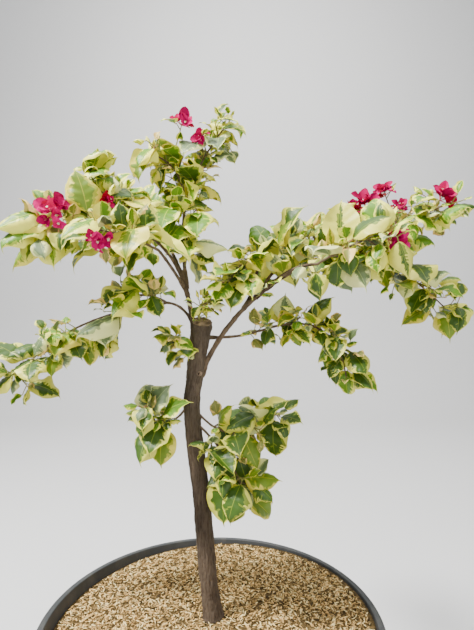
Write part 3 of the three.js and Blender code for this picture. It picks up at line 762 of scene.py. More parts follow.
def add_limb(sheet, points, radii, sides, slot, relief=None):
    """A round limb through the points, its end closed by a small dome"""
    headings, across, over = carried_frames(points)
    angles = np.arange(sides) * math.tau / sides
    radius = np.repeat(np.asarray(radii)[:, None], sides, 1)
    if relief is not None:
        radius = radius * relief(np.linspace(0, 1, len(points))[:, None], angles[None])
    ring = across[:, None] * np.cos(angles)[:, None] + over[:, None] * np.sin(angles)[:, None]
    corners = points[:, None] + ring * radius[..., None]
    tip = points[-1] + headings[-1] * radii[-1] * DOME
    sheet.add(np.vstack([corners.reshape(-1, 3), tip[None]]),
              grid_faces(len(points), sides, True)[:, ::-1], slot)
    sheet.add_faces(fan(sides, (len(points) - 1) * sides, len(points) * sides)[:, ::-1], slot)


def rippled(place, size, seed=0.0):
    """Smooth chance between -1 and 1 at a place, with waves of about that size"""
    return noise.noise(Vector(place) / size + Vector((seed, seed * 1.7, -seed)))


# Materials

GRAIN_DETAIL = 5
GRAIN_STRENGTH = 0.6
ROUGHNESS_SPREAD = 0.12
LEAST_ROUGHNESS = 0.05
PATCH_DETAIL = (6, 0.62)
STREAK_DETAIL = (7, 0.68)
STREAK_STRENGTH = 0.9
STREAK_STOPS = (0.36, 0.54)


def add_noise(material, scale, detail, roughness=0.5, stretch=(1, 1, 1)):
    """Noise in the object's own space, drawn out by its stretch"""
    nodes, links = material.node_tree.nodes, material.node_tree.links
    place = nodes.new("ShaderNodeTexCoord")
    mapping = nodes.new("ShaderNodeMapping")
    mapping.inputs["Scale"].default_value = stretch
    links.new(place.outputs["Object"], mapping.inputs["Vector"])
    texture = nodes.new("ShaderNodeTexNoise")
    texture.inputs["Scale"].default_value = scale
    texture.inputs["Detail"].default_value = detail
    texture.inputs["Roughness"].default_value = roughness
    links.new(mapping.outputs["Vector"], texture.inputs["Vector"])
    return texture.outputs["Fac"]


def add_ramp(material, noise_value, stops):
    """Colours that follow the noise, each from its own place on"""
    ramp = material.node_tree.nodes.new("ShaderNodeValToRGB")
    elements = ramp.color_ramp.elements
    while len(elements) < len(stops):
        elements.new(0.5)
    for index, (position, colour) in enumerate(stops):
        elements[index].position = position
        elements[index].color = (*colour, 1)
    material.node_tree.links.new(noise_value, ramp.inputs["Fac"])
    return ramp.outputs["Color"]


def add_bump(material, height, strength, depth):
    """Lets a height shape the surface, over what shapes it already"""
    nodes, links = material.node_tree.nodes, material.node_tree.links
    normal = nodes["Principled BSDF"].inputs["Normal"]
    bump = nodes.new("ShaderNodeBump")
    bump.inputs["Strength"].default_value = strength
    bump.inputs["Distance"].default_value = depth
    links.new(height, bump.inputs["Height"])
    if normal.is_linked:
        links.new(normal.links[0].from_socket, bump.inputs["Normal"])
    links.new(bump.outputs["Normal"], normal)


def new_material(name, colour, roughness, grain, depth, specular):
    """A plain colour with a fine grain in its roughness and its surface"""
    material = bpy.data.materials.new(name)
    material.use_nodes = True
    nodes, links = material.node_tree.nodes, material.node_tree.links
    shader = nodes["Principled BSDF"]
    shader.inputs["Base Color"].default_value = (*colour, 1)
    shader.inputs["Specular IOR Level"].default_value = specular
    grains = add_noise(material, grain, GRAIN_DETAIL)
    spread = nodes.new("ShaderNodeMapRange")
    spread.inputs["To Min"].default_value = max(LEAST_ROUGHNESS, roughness - ROUGHNESS_SPREAD)
    spread.inputs["To Max"].default_value = min(1, roughness + ROUGHNESS_SPREAD)
    links.new(grains, spread.inputs["Value"])
    links.new(spread.outputs["Result"], shader.inputs["Roughness"])
    add_bump(material, grains, GRAIN_STRENGTH, depth)
    return material


def shades(colour, *factors):
    """Darker and lighter shades of one colour"""
    return [tuple(min(1, part * factor) for part in colour) for factor in factors]


def mixed(one, other, part):
    """A colour on the way from one to the other"""
    return tuple(lerp(a, b, part) for a, b in zip(one, other))


def tint_by_noise(material, colours, scale, stretch, contrast):
    """Lets the base colour wander between several colours in patches"""
    last = len(colours) - 1
    stops = [(0.5 + contrast * (2 * index / last - 1), colour)
             for index, colour in enumerate(colours)]
    tint = add_ramp(material, add_noise(material, scale, *PATCH_DETAIL, stretch), stops)
    shader = material.node_tree.nodes["Principled BSDF"]
    material.node_tree.links.new(tint, shader.inputs["Base Color"])
    return material


def streak_bark(material, furrows, scale, stretch, depth):
    """Long furrows: lower streaks that run with the grain, over the patches, darker in colour where
    they run low, a painted shade in their hollows
    """
    nodes, links = material.node_tree.nodes, material.node_tree.links
    base = nodes["Principled BSDF"].inputs["Base Color"]
    streaks = add_noise(material, scale, *STREAK_DETAIL, stretch)
    blend = nodes.new("ShaderNodeMix")
    blend.data_type = "RGBA"
    blend.blend_type = "MULTIPLY"
    blend.inputs["Factor"].default_value = 1
    links.new(base.links[0].from_socket, blend.inputs["A"])
    # The furrow colour darkens the bark where the streaks run low: painted shade in the hollows
    shadow = add_ramp(material, streaks, list(zip(STREAK_STOPS, (furrows, (1, 1, 1)))))
    links.new(shadow, blend.inputs["B"])
    links.new(blend.outputs["Result"], base)
    add_bump(material, streaks, STREAK_STRENGTH, depth)


# Kinds of leaf: the cast it takes on, then for heart, band and edge how much of the cast is mixed
# into the colour that the settings give and how bright the mix is. Leaves are dealt these kinds by
# the light they get, so the darkened kind is painted shade and the yellow kind a painted glow of
# light shining through the leaf
LEAF_KINDS = {
    "sun": ((255, 255, 255), (0, 1), (0, 1), (0, 1)),
    # Painted shade: darker copies of the leaf colours for leaves that hang or grow low, out of the
    # light
    "deep": ((60, 92, 60), (0.2, 0.45), (0.15, 0.55), (0, 0.8)),
    "grey": ((206, 216, 186), (0.3, 0.5), (0.4, 0.7), (0.45, 1)),
    # Painted backlight: a yellower copy of the leaf colours for leaves with light shining through
    # them
    "gold": ((232, 200, 50), (0.1, 0.9), (0.3, 0.8), (0.4, 0.9)),
    "blush": ((240, 164, 130), (0.2, 0.85), (0.4, 0.95), (0.5, 1)),
}
LEAF_ZONES = ("heart", "band", "edge")
HEART, BAND, EDGE = range(len(LEAF_ZONES))


def leaf_materials():
    """The materials of all kinds and zones in their order, made once"""
    sizes = bpy.context.scene.bougainvillea_foliage
    made = []
    for kind, (cast, *zones) in LEAF_KINDS.items():
        for zone, (part, shade) in zip(LEAF_ZONES, zones):
            name = f"leaf_{kind}_{zone}"
            material = bpy.data.materials.get(name)
            if material is None:
                colour = mixed(getattr(sizes, zone), from_srgb(*cast), part)
                material = new_material(name, *shades(colour, shade), 0.46, 420, 0.0004, 0.4)
            made.append(material)
    return made


# Leaves: an arched, folded and waved blade on a stalk, its green heart and pale edge dealt by faces

STALK_PART = 0.1
LEAF_FULLNESS = 0.97
LEAF_ROWS = 28
YOUNG_ROWS = 12
LEAF_SHAPE = (0.6, 0.86)
DRIP_TIP = 0.13
DRIP_WIDTH = 0.12
TIP_START = 2.2
MIDRIB = 0.026
MIDRIB_RISE = 0.012
VEINS = 6
VEIN_SLANT = 0.13
QUILTING = 0.05
SHADE_GREENING = 0.4
SHADE_LEVELS = (760, 1000)
LIGHT_LEVELS = (700, 1150)
LIGHT_OF_HEIGHT = 0.9
LIGHT_LOSS = 0.2
BLUSH_SHARE = 0.16
WIDEST_HEART = 0.86
WIDEST_BAND = 0.93
COLUMN_ZONES = np.array([EDGE, EDGE, BAND, HEART, HEART, BAND,
                         BAND, HEART, HEART, BAND, EDGE, EDGE])
STRAY_HEART, STRAY_EDGE, STRAY_BAND = 0.14, 0.88, 0.975
# Up to which paleness a leaf is evenly edged, pale in one half, or pale with a small heart
EVENLY_EDGED, HALF_PALE, SMALL_HEARTED = 0.52, 0.76, 0.88
RAGGEDNESS = 0.085
BAND_RAGGEDNESS = 0.05
BAND_WIDTHS = (0.05, 0.2)
LEAF_BENDS = (0.3, 1.05)
LEAF_HOOKS = (0.1, 1.1)
FIRST_SLOPE = 0.42
HOOK_START = 0.66
LEAF_SWERVE = 0.16
LEAF_FOLDS = (0.04, 0.42)
LEAF_CURLS = (-0.3, 1.0)
EDGE_WAVES = (1.1, 2.4)
EDGE_SWELLS = (0.08, 0.28)
# Kinds of leaf to deal from, by how much light the leaf gets at least: the less light, the more
# painted shade
KINDS_BY_LIGHT = (
    (1.2, ["sun", "sun", "sun", "sun", "gold", "deep", "grey"]),
    (0.9, ["sun", "sun", "sun", "gold", "deep", "deep", "grey"]),
    (-math.inf, ["sun", "gold", "deep", "deep", "deep", "deep", "deep", "grey"]),
)


def power_shape(at, rise, fall):
    """A bump from 0 at each end to 1 at its widest"""
    widest = rise / (rise + fall)
    height = widest ** rise * (1 - widest) ** fall
    return np.clip(at, 0, 1) ** rise * np.clip(1 - at, 0, 1) ** fall / height


def blade_outline(at):
    """Half width of a leaf at fractions of its length, 1 at its widest, with a slim drip tip"""
    main = power_shape(at / (1 - DRIP_TIP), *LEAF_SHAPE)
    tip = DRIP_WIDTH * np.clip((1 - at) / (TIP_START * DRIP_TIP), 0, 1)
    return np.maximum(main, tip * smoothstep(at, 0.1, 0.6))


def wandering(chance, at, turns, strength):
    """A ragged line along a leaf: a few waves of chance phase"""
    line = np.zeros_like(at)
    for turn in range(1, turns + 1):
        line += np.sin(math.tau * (turn * at * 1.3 + chance.random())) / turn ** 0.6
    return 1 + strength * line / turns ** 0.5


def heart_widths(chance, at, paleness):
    """How far the green heart and the paler band beside it reach to each side, as parts of the
    half width: most leaves are evenly edged, some have one pale half, some are nearly all cream"""
    taper = np.sin(math.pi * np.clip(at, 0.01, 0.99) ** 0.85) ** 0.5
    if paleness < EVENLY_EDGED:
        hearts = chance.uniform(0.5, 0.76, 2)
    elif paleness < HALF_PALE:
        hearts = np.array([chance.uniform(0.55, 0.75), chance.uniform(0.08, 0.3)])
        hearts = hearts[::int(chance.choice([-1, 1]))]
    elif paleness < SMALL_HEARTED:
        hearts = chance.uniform(0.2, 0.4, 2)
    else:
        hearts = chance.uniform(0.05, 0.14, 2)
    bands = []
    for heart in hearts:
        ragged = chance.normal(0, RAGGEDNESS, len(at))
        inner = heart * taper * wandering(chance, at, 5, 0.3) + ragged * heart
        inner = np.clip(inner, 2.2 * MIDRIB, WIDEST_HEART)
        outer = inner + chance.uniform(*BAND_WIDTHS) * wandering(chance, at, 4, 0.6)
        outer += np.abs(chance.normal(0, BAND_RAGGEDNESS, len(at)))
        bands.append((inner, np.clip(outer, inner + 0.02, WIDEST_BAND)))
    return bands


def add_leaf(sheet, blade, chance, kind, rows, weight):
    """One leaf in the blade's place. The weight is how strongly it arches and curls"""
    length = blade.length * (1 - STALK_PART)
    half = blade.width / 2 * LEAF_FULLNESS
    at = np.linspace(0, 1, rows + 1)
    bend = chance.uniform(*LEAF_BENDS) * weight
    hook = chance.uniform(*LEAF_HOOKS) * weight
    slope = bend * FIRST_SLOPE - bend * at - hook * smoothstep(at, HOOK_START, 1) ** 1.5
    run, rise = integrated(slope, length / rows)
    swerve = chance.uniform(-LEAF_SWERVE, LEAF_SWERVE)
    fold = chance.uniform(*LEAF_FOLDS)
    curl = chance.uniform(*LEAF_CURLS) * weight
    shaded = 1 - smoothstep(blade.root[2], *SHADE_LEVELS)
    bands = heart_widths(chance, at, chance.random() * (1 - SHADE_GREENING * shaded))
    corners, lines = [], []
    rib = np.full_like(at, MIDRIB)
    for side, (inner, outer) in zip((-1, 1), bands):
        parts = np.stack([rib, (rib + inner) / 2, inner, outer, (1 + outer) / 2, np.ones_like(at)])
        phase = chance.random()
        waves, swell = chance.uniform(*EDGE_WAVES), chance.uniform(*EDGE_SWELLS)
        for part in parts:
            reached = at + VEIN_SLANT * part * np.sin(math.pi * at)
            outline = blade_outline(reached) * half
            angle = fold - curl * part ** 2
            lift = outline * part * np.sin(angle)
            lift += outline * swell * part ** 2 * np.sin(math.tau * (waves * reached + phase))
            quilt = np.cos(math.tau * VEINS * at) * part * (1.3 - part)
            lift += QUILTING * outline * quilt
            lines.append((reached, side * outline * part * np.cos(angle), lift))
    left = lines[5::-1]
    middle = (at, np.zeros_like(at), MIDRIB_RISE * blade_outline(at) * half)
    columns = [*left, middle, *lines[6:]]
    start = STALK_PART * blade.length
    for reached, out, lift in columns:
        tilt = np.interp(reached, at, slope)
        along = start + np.interp(reached, at, run) - lift * np.sin(tilt)
        normal = np.interp(reached, at, rise) + lift * np.cos(tilt)
        across = out + swerve * length * reached ** 2
        corners.append(blade.root + along[:, None] * blade.along + across[:, None] * blade.across
                       + normal[:, None] * blade.normal)
    first = list(LEAF_KINDS).index(kind) * len(LEAF_ZONES)
    zones = np.tile(COLUMN_ZONES, (rows, 1))
    roll = chance.random(zones.shape)
    zones = np.where((COLUMN_ZONES == BAND) & (roll < STRAY_HEART), HEART, zones)
    zones = np.where((COLUMN_ZONES == BAND) & (roll > STRAY_EDGE), EDGE, zones)
    zones = np.where((COLUMN_ZONES == HEART) & (roll > STRAY_BAND), BAND, zones)
    zones[:, 5:7] = BAND
    add_pointed(sheet, np.stack(corners, 1), zones + first)


def kind_of_leaf(chance, blade, is_young):
    """Leaves that face the light are bright, some with a painted glow of light through them;
    hanging and low ones are more often deeper, by painted shade, or whiter; some young ones bronze"""
    lit = blade.normal[2] + LIGHT_OF_HEIGHT * smoothstep(blade.root[2], *LIGHT_LEVELS) - LIGHT_LOSS
    roll = chance.random()
    if is_young and roll < BLUSH_SHARE:
        return "blush"
    return chance.choice(next(kinds for light, kinds in KINDS_BY_LIGHT if lit > light))


# Regions of the crown, each a joined piece

REGIONS = {
    "top": ("top_right", "top_left", "left_inner", "head"),
    "left": ("left_far", "left_upper", "left_front", "left_back"),
    "low_left": ("low_left_outer", "left_edge", "low_left_inner", "low_left"),
    "right_tip": ("right_tip", "right_outer", "right_back"),
    "right_inner": ("right_inner", "right_upper", "right_front", "middle_back"),
    "low_right": ("lower_right", "low_right_upper", "low_right_lower"),
}


def masses_of(region):
    """The masses of a region in the order of the plant"""
    names = [name + "_foliage" for name in REGIONS[region]]
    return [mass for mass in plant.masses if mass.name in names]


# What a user may change

class BougainvilleaFoliage(bpy.types.PropertyGroup):
    """Shape, colours and stalks of the leaves"""

    arch: FloatProperty(name="Arch", description="How strongly the leaves arch and curl",
                        default=1.25)
    seed: IntProperty(name="Seed", description="Chance that shapes each leaf", default=5)
    heart: FloatVectorProperty(name="Heart", description="Green heart of a sunlit leaf",
                               subtype="COLOR", default=from_srgb(92, 136, 10))
    band: FloatVectorProperty(name="Band", description="Paler band round the heart",
                              subtype="COLOR", default=from_srgb(168, 190, 42))
    edge: FloatVectorProperty(name="Edge", description="Cream edge of a sunlit leaf",
                              subtype="COLOR", default=from_srgb(242, 238, 96))
    stem_radius: FloatProperty(name="Stem radius", description="Stems where they leave a bough",
                               default=0.0021, unit="LENGTH")
    twig_radius: FloatProperty(name="Twig radius", description="Side twigs at their root",
                               default=0.0013, unit="LENGTH")
    stalk_radius: FloatProperty(name="Stalk radius", description="Stalks of the leaves",
                                default=0.0008, unit="LENGTH")


class BougainvilleaBlossom(bpy.types.PropertyGroup):
    """Bracts and true flowers"""

    bract_length: FloatProperty(name="Bract length", description="Length of a full bract",
                                default=0.033, unit="LENGTH")
    tube_length: FloatProperty(name="Tube length", description="Length of a true flower",
                               default=0.011, unit="LENGTH")
    magenta: FloatVectorProperty(name="Magenta", description="Sunlit bracts", subtype="COLOR",
                                 default=from_srgb(180, 0, 86))
    crimson: FloatVectorProperty(name="Crimson", description="Younger and shaded bracts",
                                 subtype="COLOR", default=from_srgb(162, 0, 44))
    rose: FloatVectorProperty(name="Rose", description="Faded bracts", subtype="COLOR",
                              default=from_srgb(214, 8, 114))


class BougainvilleaWood(bpy.types.PropertyGroup):
    """Bark, stems and the sawn head"""

    bark: FloatVectorProperty(name="Bark", description="Main colour of the trunk's bark",
                              subtype="COLOR", default=from_srgb(85, 73, 60))
    young_bark: FloatVectorProperty(name="Young bark", description="Colour of the boughs",
                                    subtype="COLOR", default=from_srgb(106, 88, 68))
    green_stem: FloatVectorProperty(name="Green stem", description="Colour of stems and stalks",
                                    subtype="COLOR", default=from_srgb(134, 132, 60))
    sawn: FloatVectorProperty(name="Sawn wood", description="The sawn head of the trunk",
                              subtype="COLOR", default=from_srgb(150, 128, 104))
    ridge: FloatProperty(name="Ridges", description="Depth of the furrows in the bark",
                         default=0.0009, unit="LENGTH")


class BougainvilleaPot(bpy.types.PropertyGroup):
    """The pot and its mulch"""

    plastic: FloatVectorProperty(name="Plastic", description="Colour of the pot", subtype="COLOR",
                                 default=from_srgb(58, 60, 60))
    dust: FloatVectorProperty(name="Dust", description="Dust on the lip and in scuffs",
                              subtype="COLOR", default=from_srgb(132, 126, 112))
    husk: FloatVectorProperty(name="Husk", description="Main colour of the rice husks",
                              subtype="COLOR", default=from_srgb(228, 187, 118))
    pale_husk: FloatVectorProperty(name="Pale husk", description="Bleached husks among the others",
                                   subtype="COLOR", default=from_srgb(255, 229, 164))
    husk_length: FloatProperty(name="Husk length", description="Length of a rice husk",
                               default=0.0092, unit="LENGTH")
    husk_count: IntProperty(name="Husks", description="Husks that lie on top", default=15000)


class BougainvilleaStage(bpy.types.PropertyGroup):
    """The camera and the floor"""

    camera_place: FloatVectorProperty(name="Camera", description="Where the camera stands",
                                      subtype="XYZ", unit="LENGTH", default=(0.041, -0.758, 0.878))
    lens: FloatProperty(name="Lens", description="Focal length in millimetres", default=26.0)
    horizon: FloatProperty(name="Shift", description="How far the level view is shifted up",
                           default=0.019)
    floor: FloatVectorProperty(name="Floor", description="Colour of the floor", subtype="COLOR",
                               default=from_srgb(226, 225, 222))


# Wood

TRUNK_SIDES = 64
TRUNK_ROWS = 300
CAP_RINGS = 10
# Each knot: its height on the trunk, its angle, its size and how far it stands out
KNOTS = ((0.795, -0.95, 8, 2.4), (0.63, 2.7, 8, 1.2), (0.3, -1.9, 9, 1.3), (0.5, -0.9, 7, 0.9),
         (0.15, 0.6, 8, 1.1), (0.9, 2.4, 6, 1.2), (0.965, 2.9, 12, 3.4), (0.975, -2.0, 9, 3.0),
         (0.985, -0.9, 6, 1.8), (0.965, 0.2, 7, 2.0), (0.99, -1.5, 4, 1.6),
         (0.66, -0.3, 7, 1.8), (0.585, -0.2, 7, 1.8))
KNOT_FALL = 1.6
KNOT_RINGS = (0.25, 9)
# The old pruning hole: its height on the trunk, its angle and its size
PRUNING_HOLE = (0.795, -0.95, 3.3)
PRUNING_DEPTH = 6.0
# Within the first of these gaps the hole's bark is painted near black, painted shade in its depth;
# out to the second, its rim is pale sawn wood
PRUNING_RIM = (0.8, 1.5)
# A hollow seam: its angle, its width, its depth and where it starts
SEAM = (2.75, 0.22, 2.2, 0.62)
SEAM_TWIST = 0.5
SEAM_RUN_IN = 0.1
# Waves of the bark: how long they are drawn out, their size, their height and their seed
FURROWS = (7, 3.6, 1.6, 0)
PLATES = (3, 1.7, 0.8, 3)
FURROW_SHARPNESS = 5
FURROW_LEVEL = 0.6
HOLLOWS = (2.2, 17, 1.5, 9)
CAP_LUMPS = ((4.4, 5), (2.2, 2))
CAP_DOME = 3
# Slots of the trunk: bark, pale sawn wood, and the pruning hole's painted shade
BARK, SAWN, HOLE_SHADE = range(3)


def saw_level(y):
    """Height of the saw's cut, which is level from side to side and tilted from front to back"""
    head = plant.limbs["trunk"].route.point(1)
    return head[2] - SAW_ALLOWANCE + (y - head[1]) * math.tan(SAW_TILT)


def hole_gap(at, angle):
    """How far a place on the bark is from the old pruning hole, 1 at the hole's edge"""
    hole_at, hole_angle, size = PRUNING_HOLE
    turn = wrapped(angle - hole_angle)
    return math.hypot((at - hole_at) * TRUNK_HEIGHT, turn * TRUNK_RADIUS) / size


def bark_relief(at, angle, ridge):
    """How far the bark stands out at a height and an angle: long furrows, knots and scars"""
    height = at * TRUNK_HEIGHT
    place = (math.cos(angle) * TRUNK_RADIUS, math.sin(angle) * TRUNK_RADIUS)

    def waves(length, size, seed):
        return rippled((*place, height / length), size, seed)
    furrow_length, furrow_size, furrow_depth, furrow_seed = FURROWS
    plate_length, plate_size, plate_height, plate_seed = PLATES
    hollow_length, hollow_size, hollow_depth, hollow_seed = HOLLOWS
    furrow = 1 - abs(waves(furrow_length, furrow_size, furrow_seed))
    out = -furrow_depth * ridge * furrow ** FURROW_SHARPNESS + FURROW_LEVEL * ridge
    out += plate_height * ridge * waves(plate_length, plate_size, plate_seed)
    out += hollow_depth * waves(hollow_length, hollow_size, hollow_seed)
    rings, ring_count = KNOT_RINGS
    for knot_at, knot_angle, size, rise in KNOTS:
        along = height - knot_at * TRUNK_HEIGHT
        turn = wrapped(angle - knot_angle)
        gap = math.hypot(along, turn * TRUNK_RADIUS) / size
        out += rise * math.exp(-gap * gap * KNOT_FALL)
        out -= rings * rise * math.sin(gap * ring_count) * math.exp(-gap * gap)
    seam_angle, width, depth, start = SEAM
    turn = wrapped(angle - seam_angle - SEAM_TWIST * at)
    out -= depth * math.exp(-(turn / width) ** 2) * smoothstep(at, start, start + SEAM_RUN_IN)
    return out - PRUNING_DEPTH * math.exp(-hole_gap(at, angle) ** 4)


class PLANT_OT_trunk(bpy.types.Operator):
    """The leaning trunk, its bark in relief and its head sawn off askew"""
    bl_idname = "plant.trunk"
    bl_label = "Trunk"

    def execute(self, context):
        wood = context.scene.bougainvillea_wood
        bark = tint_by_noise(
            new_material("trunk_bark", wood.bark, 0.86, 420, 0.0005, 0.2),
            shades(wood.bark, 0.5, 0.95, 1.35, 2.3), 22, (1, 1, 0.22), 0.19)
        # Furrows of the trunk, darkened by painted shade
        streak_bark(bark, (0.55, 0.52, 0.5), 360, (1, 1, 0.13), 0.0012)
        sawn = tint_by_noise(new_material("sawn_wood", wood.sawn, 0.9, 340, 0.0006, 0.15),
                             shades(wood.sawn, 0.4, 0.9, 1.4), 90, (1, 1, 1), 0.16)
        # Near black bark for the inside of the old pruning hole: painted shade
        hole_shade_bark = new_material("hole_wood", *shades(wood.bark, 0.12), 0.95, 340, 0.0006, 0.1)
        route = plant.limbs["trunk"].route
        faceted = FacetedRoute(route, TRUNK_ROWS)
        _, across, over = carried_frames(faceted.points)
        corners = np.zeros((TRUNK_ROWS + 1, TRUNK_SIDES, 3))
        slots = np.full((TRUNK_ROWS, TRUNK_SIDES), BARK)
        for side in range(TRUNK_SIDES):
            ring = turned(across, over, side * math.tau / TRUNK_SIDES)
            heading = math.atan2(ring[-1][1], ring[-1][0])
            head = route.point(1)
            rim_depth = head[1] + ring[-1][1] * trunk_radius(1.0)
            top = (saw_level(rim_depth) - TRUNK_FOOT) / (head[2] - TRUNK_FOOT)
            for row in range(TRUNK_ROWS + 1):
                at = top * row / TRUNK_ROWS
                radius = trunk_radius(at) + bark_relief(at, heading, wood.ridge / MM)
                outward = ring[min(int(at * TRUNK_ROWS), TRUNK_ROWS - 1)]
                corners[row, side] = faceted.point(at) + outward * radius
                gap = hole_gap(at, heading)
                if row < TRUNK_ROWS and gap < PRUNING_RIM[1]:
                    slots[row, side] = HOLE_SHADE if gap < PRUNING_RIM[0] else SAWN
        sheet = Sheet()
        faces = grid_faces(TRUNK_ROWS + 1, TRUNK_SIDES, True)[:, ::-1]
        sheet.add(corners.reshape(-1, 3), faces, slots.ravel())
        rim = corners[-1]
        middle = rim.mean(0)
        rings = [rim]
        for ring in range(1, CAP_RINGS + 1):
            part = 1 - ring / (CAP_RINGS + 0.5)
            level = middle + (rim - middle) * part
            for corner in level:
                lumps = sum(height * rippled(corner, size) for height, size in CAP_LUMPS)
                corner[2] += lumps * (1 - part ** 3) + CAP_DOME * (1 - part ** 2)
            rings.append(level)
        faces = grid_faces(CAP_RINGS + 1, TRUNK_SIDES, True)[:, ::-1]
        sheet.add(np.vstack(rings), faces, SAWN)
        last = CAP_RINGS * TRUNK_SIDES
        sheet.add_faces([range(last + TRUNK_SIDES - 1, last - 1, -1)], SAWN)
        sheet.piece("bark_trunk", (bark, sawn, hole_shade_bark), "bark", ("trunk",))
        return {"FINISHED"}


BOUGH_SIDES = 14
BOUGH_STEP = 2.5
BOUGH_LEAST_ROWS = 12
BOUGH_SWAY = (0.6, 18)
COLLAR = 0.7
COLLAR_LENGTH = 11
SUNK = 9
SUNK_PARTS = (0, 0.35, 0.7)
NODE_SPACING = 24
NODE_SWELLING = 0.16
NODE_LENGTH = 2.6
BOUGH_WAVES, BOUGH_RINGS = 0.05, 0.03


class PLANT_OT_boughs(bpy.types.Operator):
    """The boughs, each tapering from a collar on its carrier, with swollen nodes"""
    bl_idname = "plant.boughs"
    bl_label = "Boughs"

    def execute(self, context):
        wood = context.scene.bougainvillea_wood
        bark = tint_by_noise(new_material("bough_bark", wood.young_bark, 0.78, 420, 0.0005, 0.25),
                             shades(wood.young_bark, 0.48, 0.95, 1.45),
                             40, (1, 1, 0.7), 0.2)
        # Furrows of the boughs, darkened by painted shade
        streak_bark(bark, (0.5, 0.46, 0.42), 260, (1, 1, 0.3), 0.0007)
        sheet = Sheet()
        for index, (name, carrier, start, *_) in enumerate(BOUGHS):
            limb = plant.limbs[name]
            length = limb.route.length()
            rows = max(BOUGH_LEAST_ROWS, round(length / BOUGH_STEP))
            at = np.linspace(0, 1, rows + 1)
            points = limb.route.spaced(rows)
            sway, sway_length = BOUGH_SWAY
            for row in range(rows + 1):
                ripple = rippled((index * 40, row * BOUGH_STEP, 0), sway_length)
                points[row, :2] += sway * ripple * math.sin(math.pi * at[row])
            holder = plant.limbs[carrier].route
            inner = holder.point(start - SUNK / holder.length())
            sunk = [lerp(inner, points[0], part) for part in SUNK_PARTS]
            points = np.vstack([sunk, points])
            at = np.concatenate([np.zeros(len(sunk)), at])
            along = at * length
            radii = limb.radius_at(at) * (1 + COLLAR * np.exp(-(along / COLLAR_LENGTH) ** 2))
            from_node = along % NODE_SPACING - NODE_SPACING / 2
            radii *= 1 + NODE_SWELLING * np.exp(-(from_node / NODE_LENGTH) ** 2)

            def relief(part, angle):
                waves = np.sin(3 * angle + 9 * part) * np.sin(5 * angle - 31 * part + index)
                return 1 + BOUGH_WAVES * waves + BOUGH_RINGS * np.sin(140 * part + 2 * angle)
            add_limb(sheet, points, radii, BOUGH_SIDES, 0, relief)
        sheet.piece("bark_boughs", (bark,), "bark", [row[0] for row in BOUGHS])
        return {"FINISHED"}


STEM_SIDES, TWIG_SIDES, STALK_SIDES = 8, 7, 5
STEM_PARTS, TWIG_PARTS, SHOOT_PARTS, STALK_PARTS = 5, 6, 3, 4
# Radii at the root and the tip, as parts of the size that the settings give
STEM_TAPER, TWIG_TAPER, SHOOT_TAPER, STALK_TAPER = (1, 0.55), (1, 0.6), (0.75, 0.5), (1.1, 0.7)
TWIG_SAGS, SHOOT_SAGS = (-0.6, 1.4), (-0.3, 0.5)
STEM_INWARD = 0.8
NODE_THICKENING = 0.14
LONG_REACH = 70
BROWN_TWIGS = 0.35
BLUSH_STALKS = 0.2
STALK_OVERLAP = 1.5
STALK_SAG = 0.8
STALK_SUNK = 0.6
GREEN, BROWN, BLUSH = range(3)


def stalk_of(blade):
    """The stalk between a twig and its leaf's blade"""
    joint = blade.root + blade.along * (STALK_PART * blade.length + STALK_OVERLAP)
    middle = (blade.root + joint) / 2 - blade.normal * STALK_SAG
    return BentRoute(blade.root - blade.along * STALK_SUNK, middle, joint).spaced(STALK_PARTS)


def add_tapered(sheet, points, radius, taper, sides, shade):
    """A round limb that goes evenly from one part of a radius to another"""
    root, tip = taper
    add_limb(sheet, points, np.linspace(root * radius, tip * radius, len(points)), sides, shade)


def twig_line(route, steps, sag):
    """A straight twig given the slight bend of a grown one"""
    at = np.linspace(0, 1, steps + 1)[:, None]
    return route.spaced(steps) + sag * np.sin(math.pi * at)


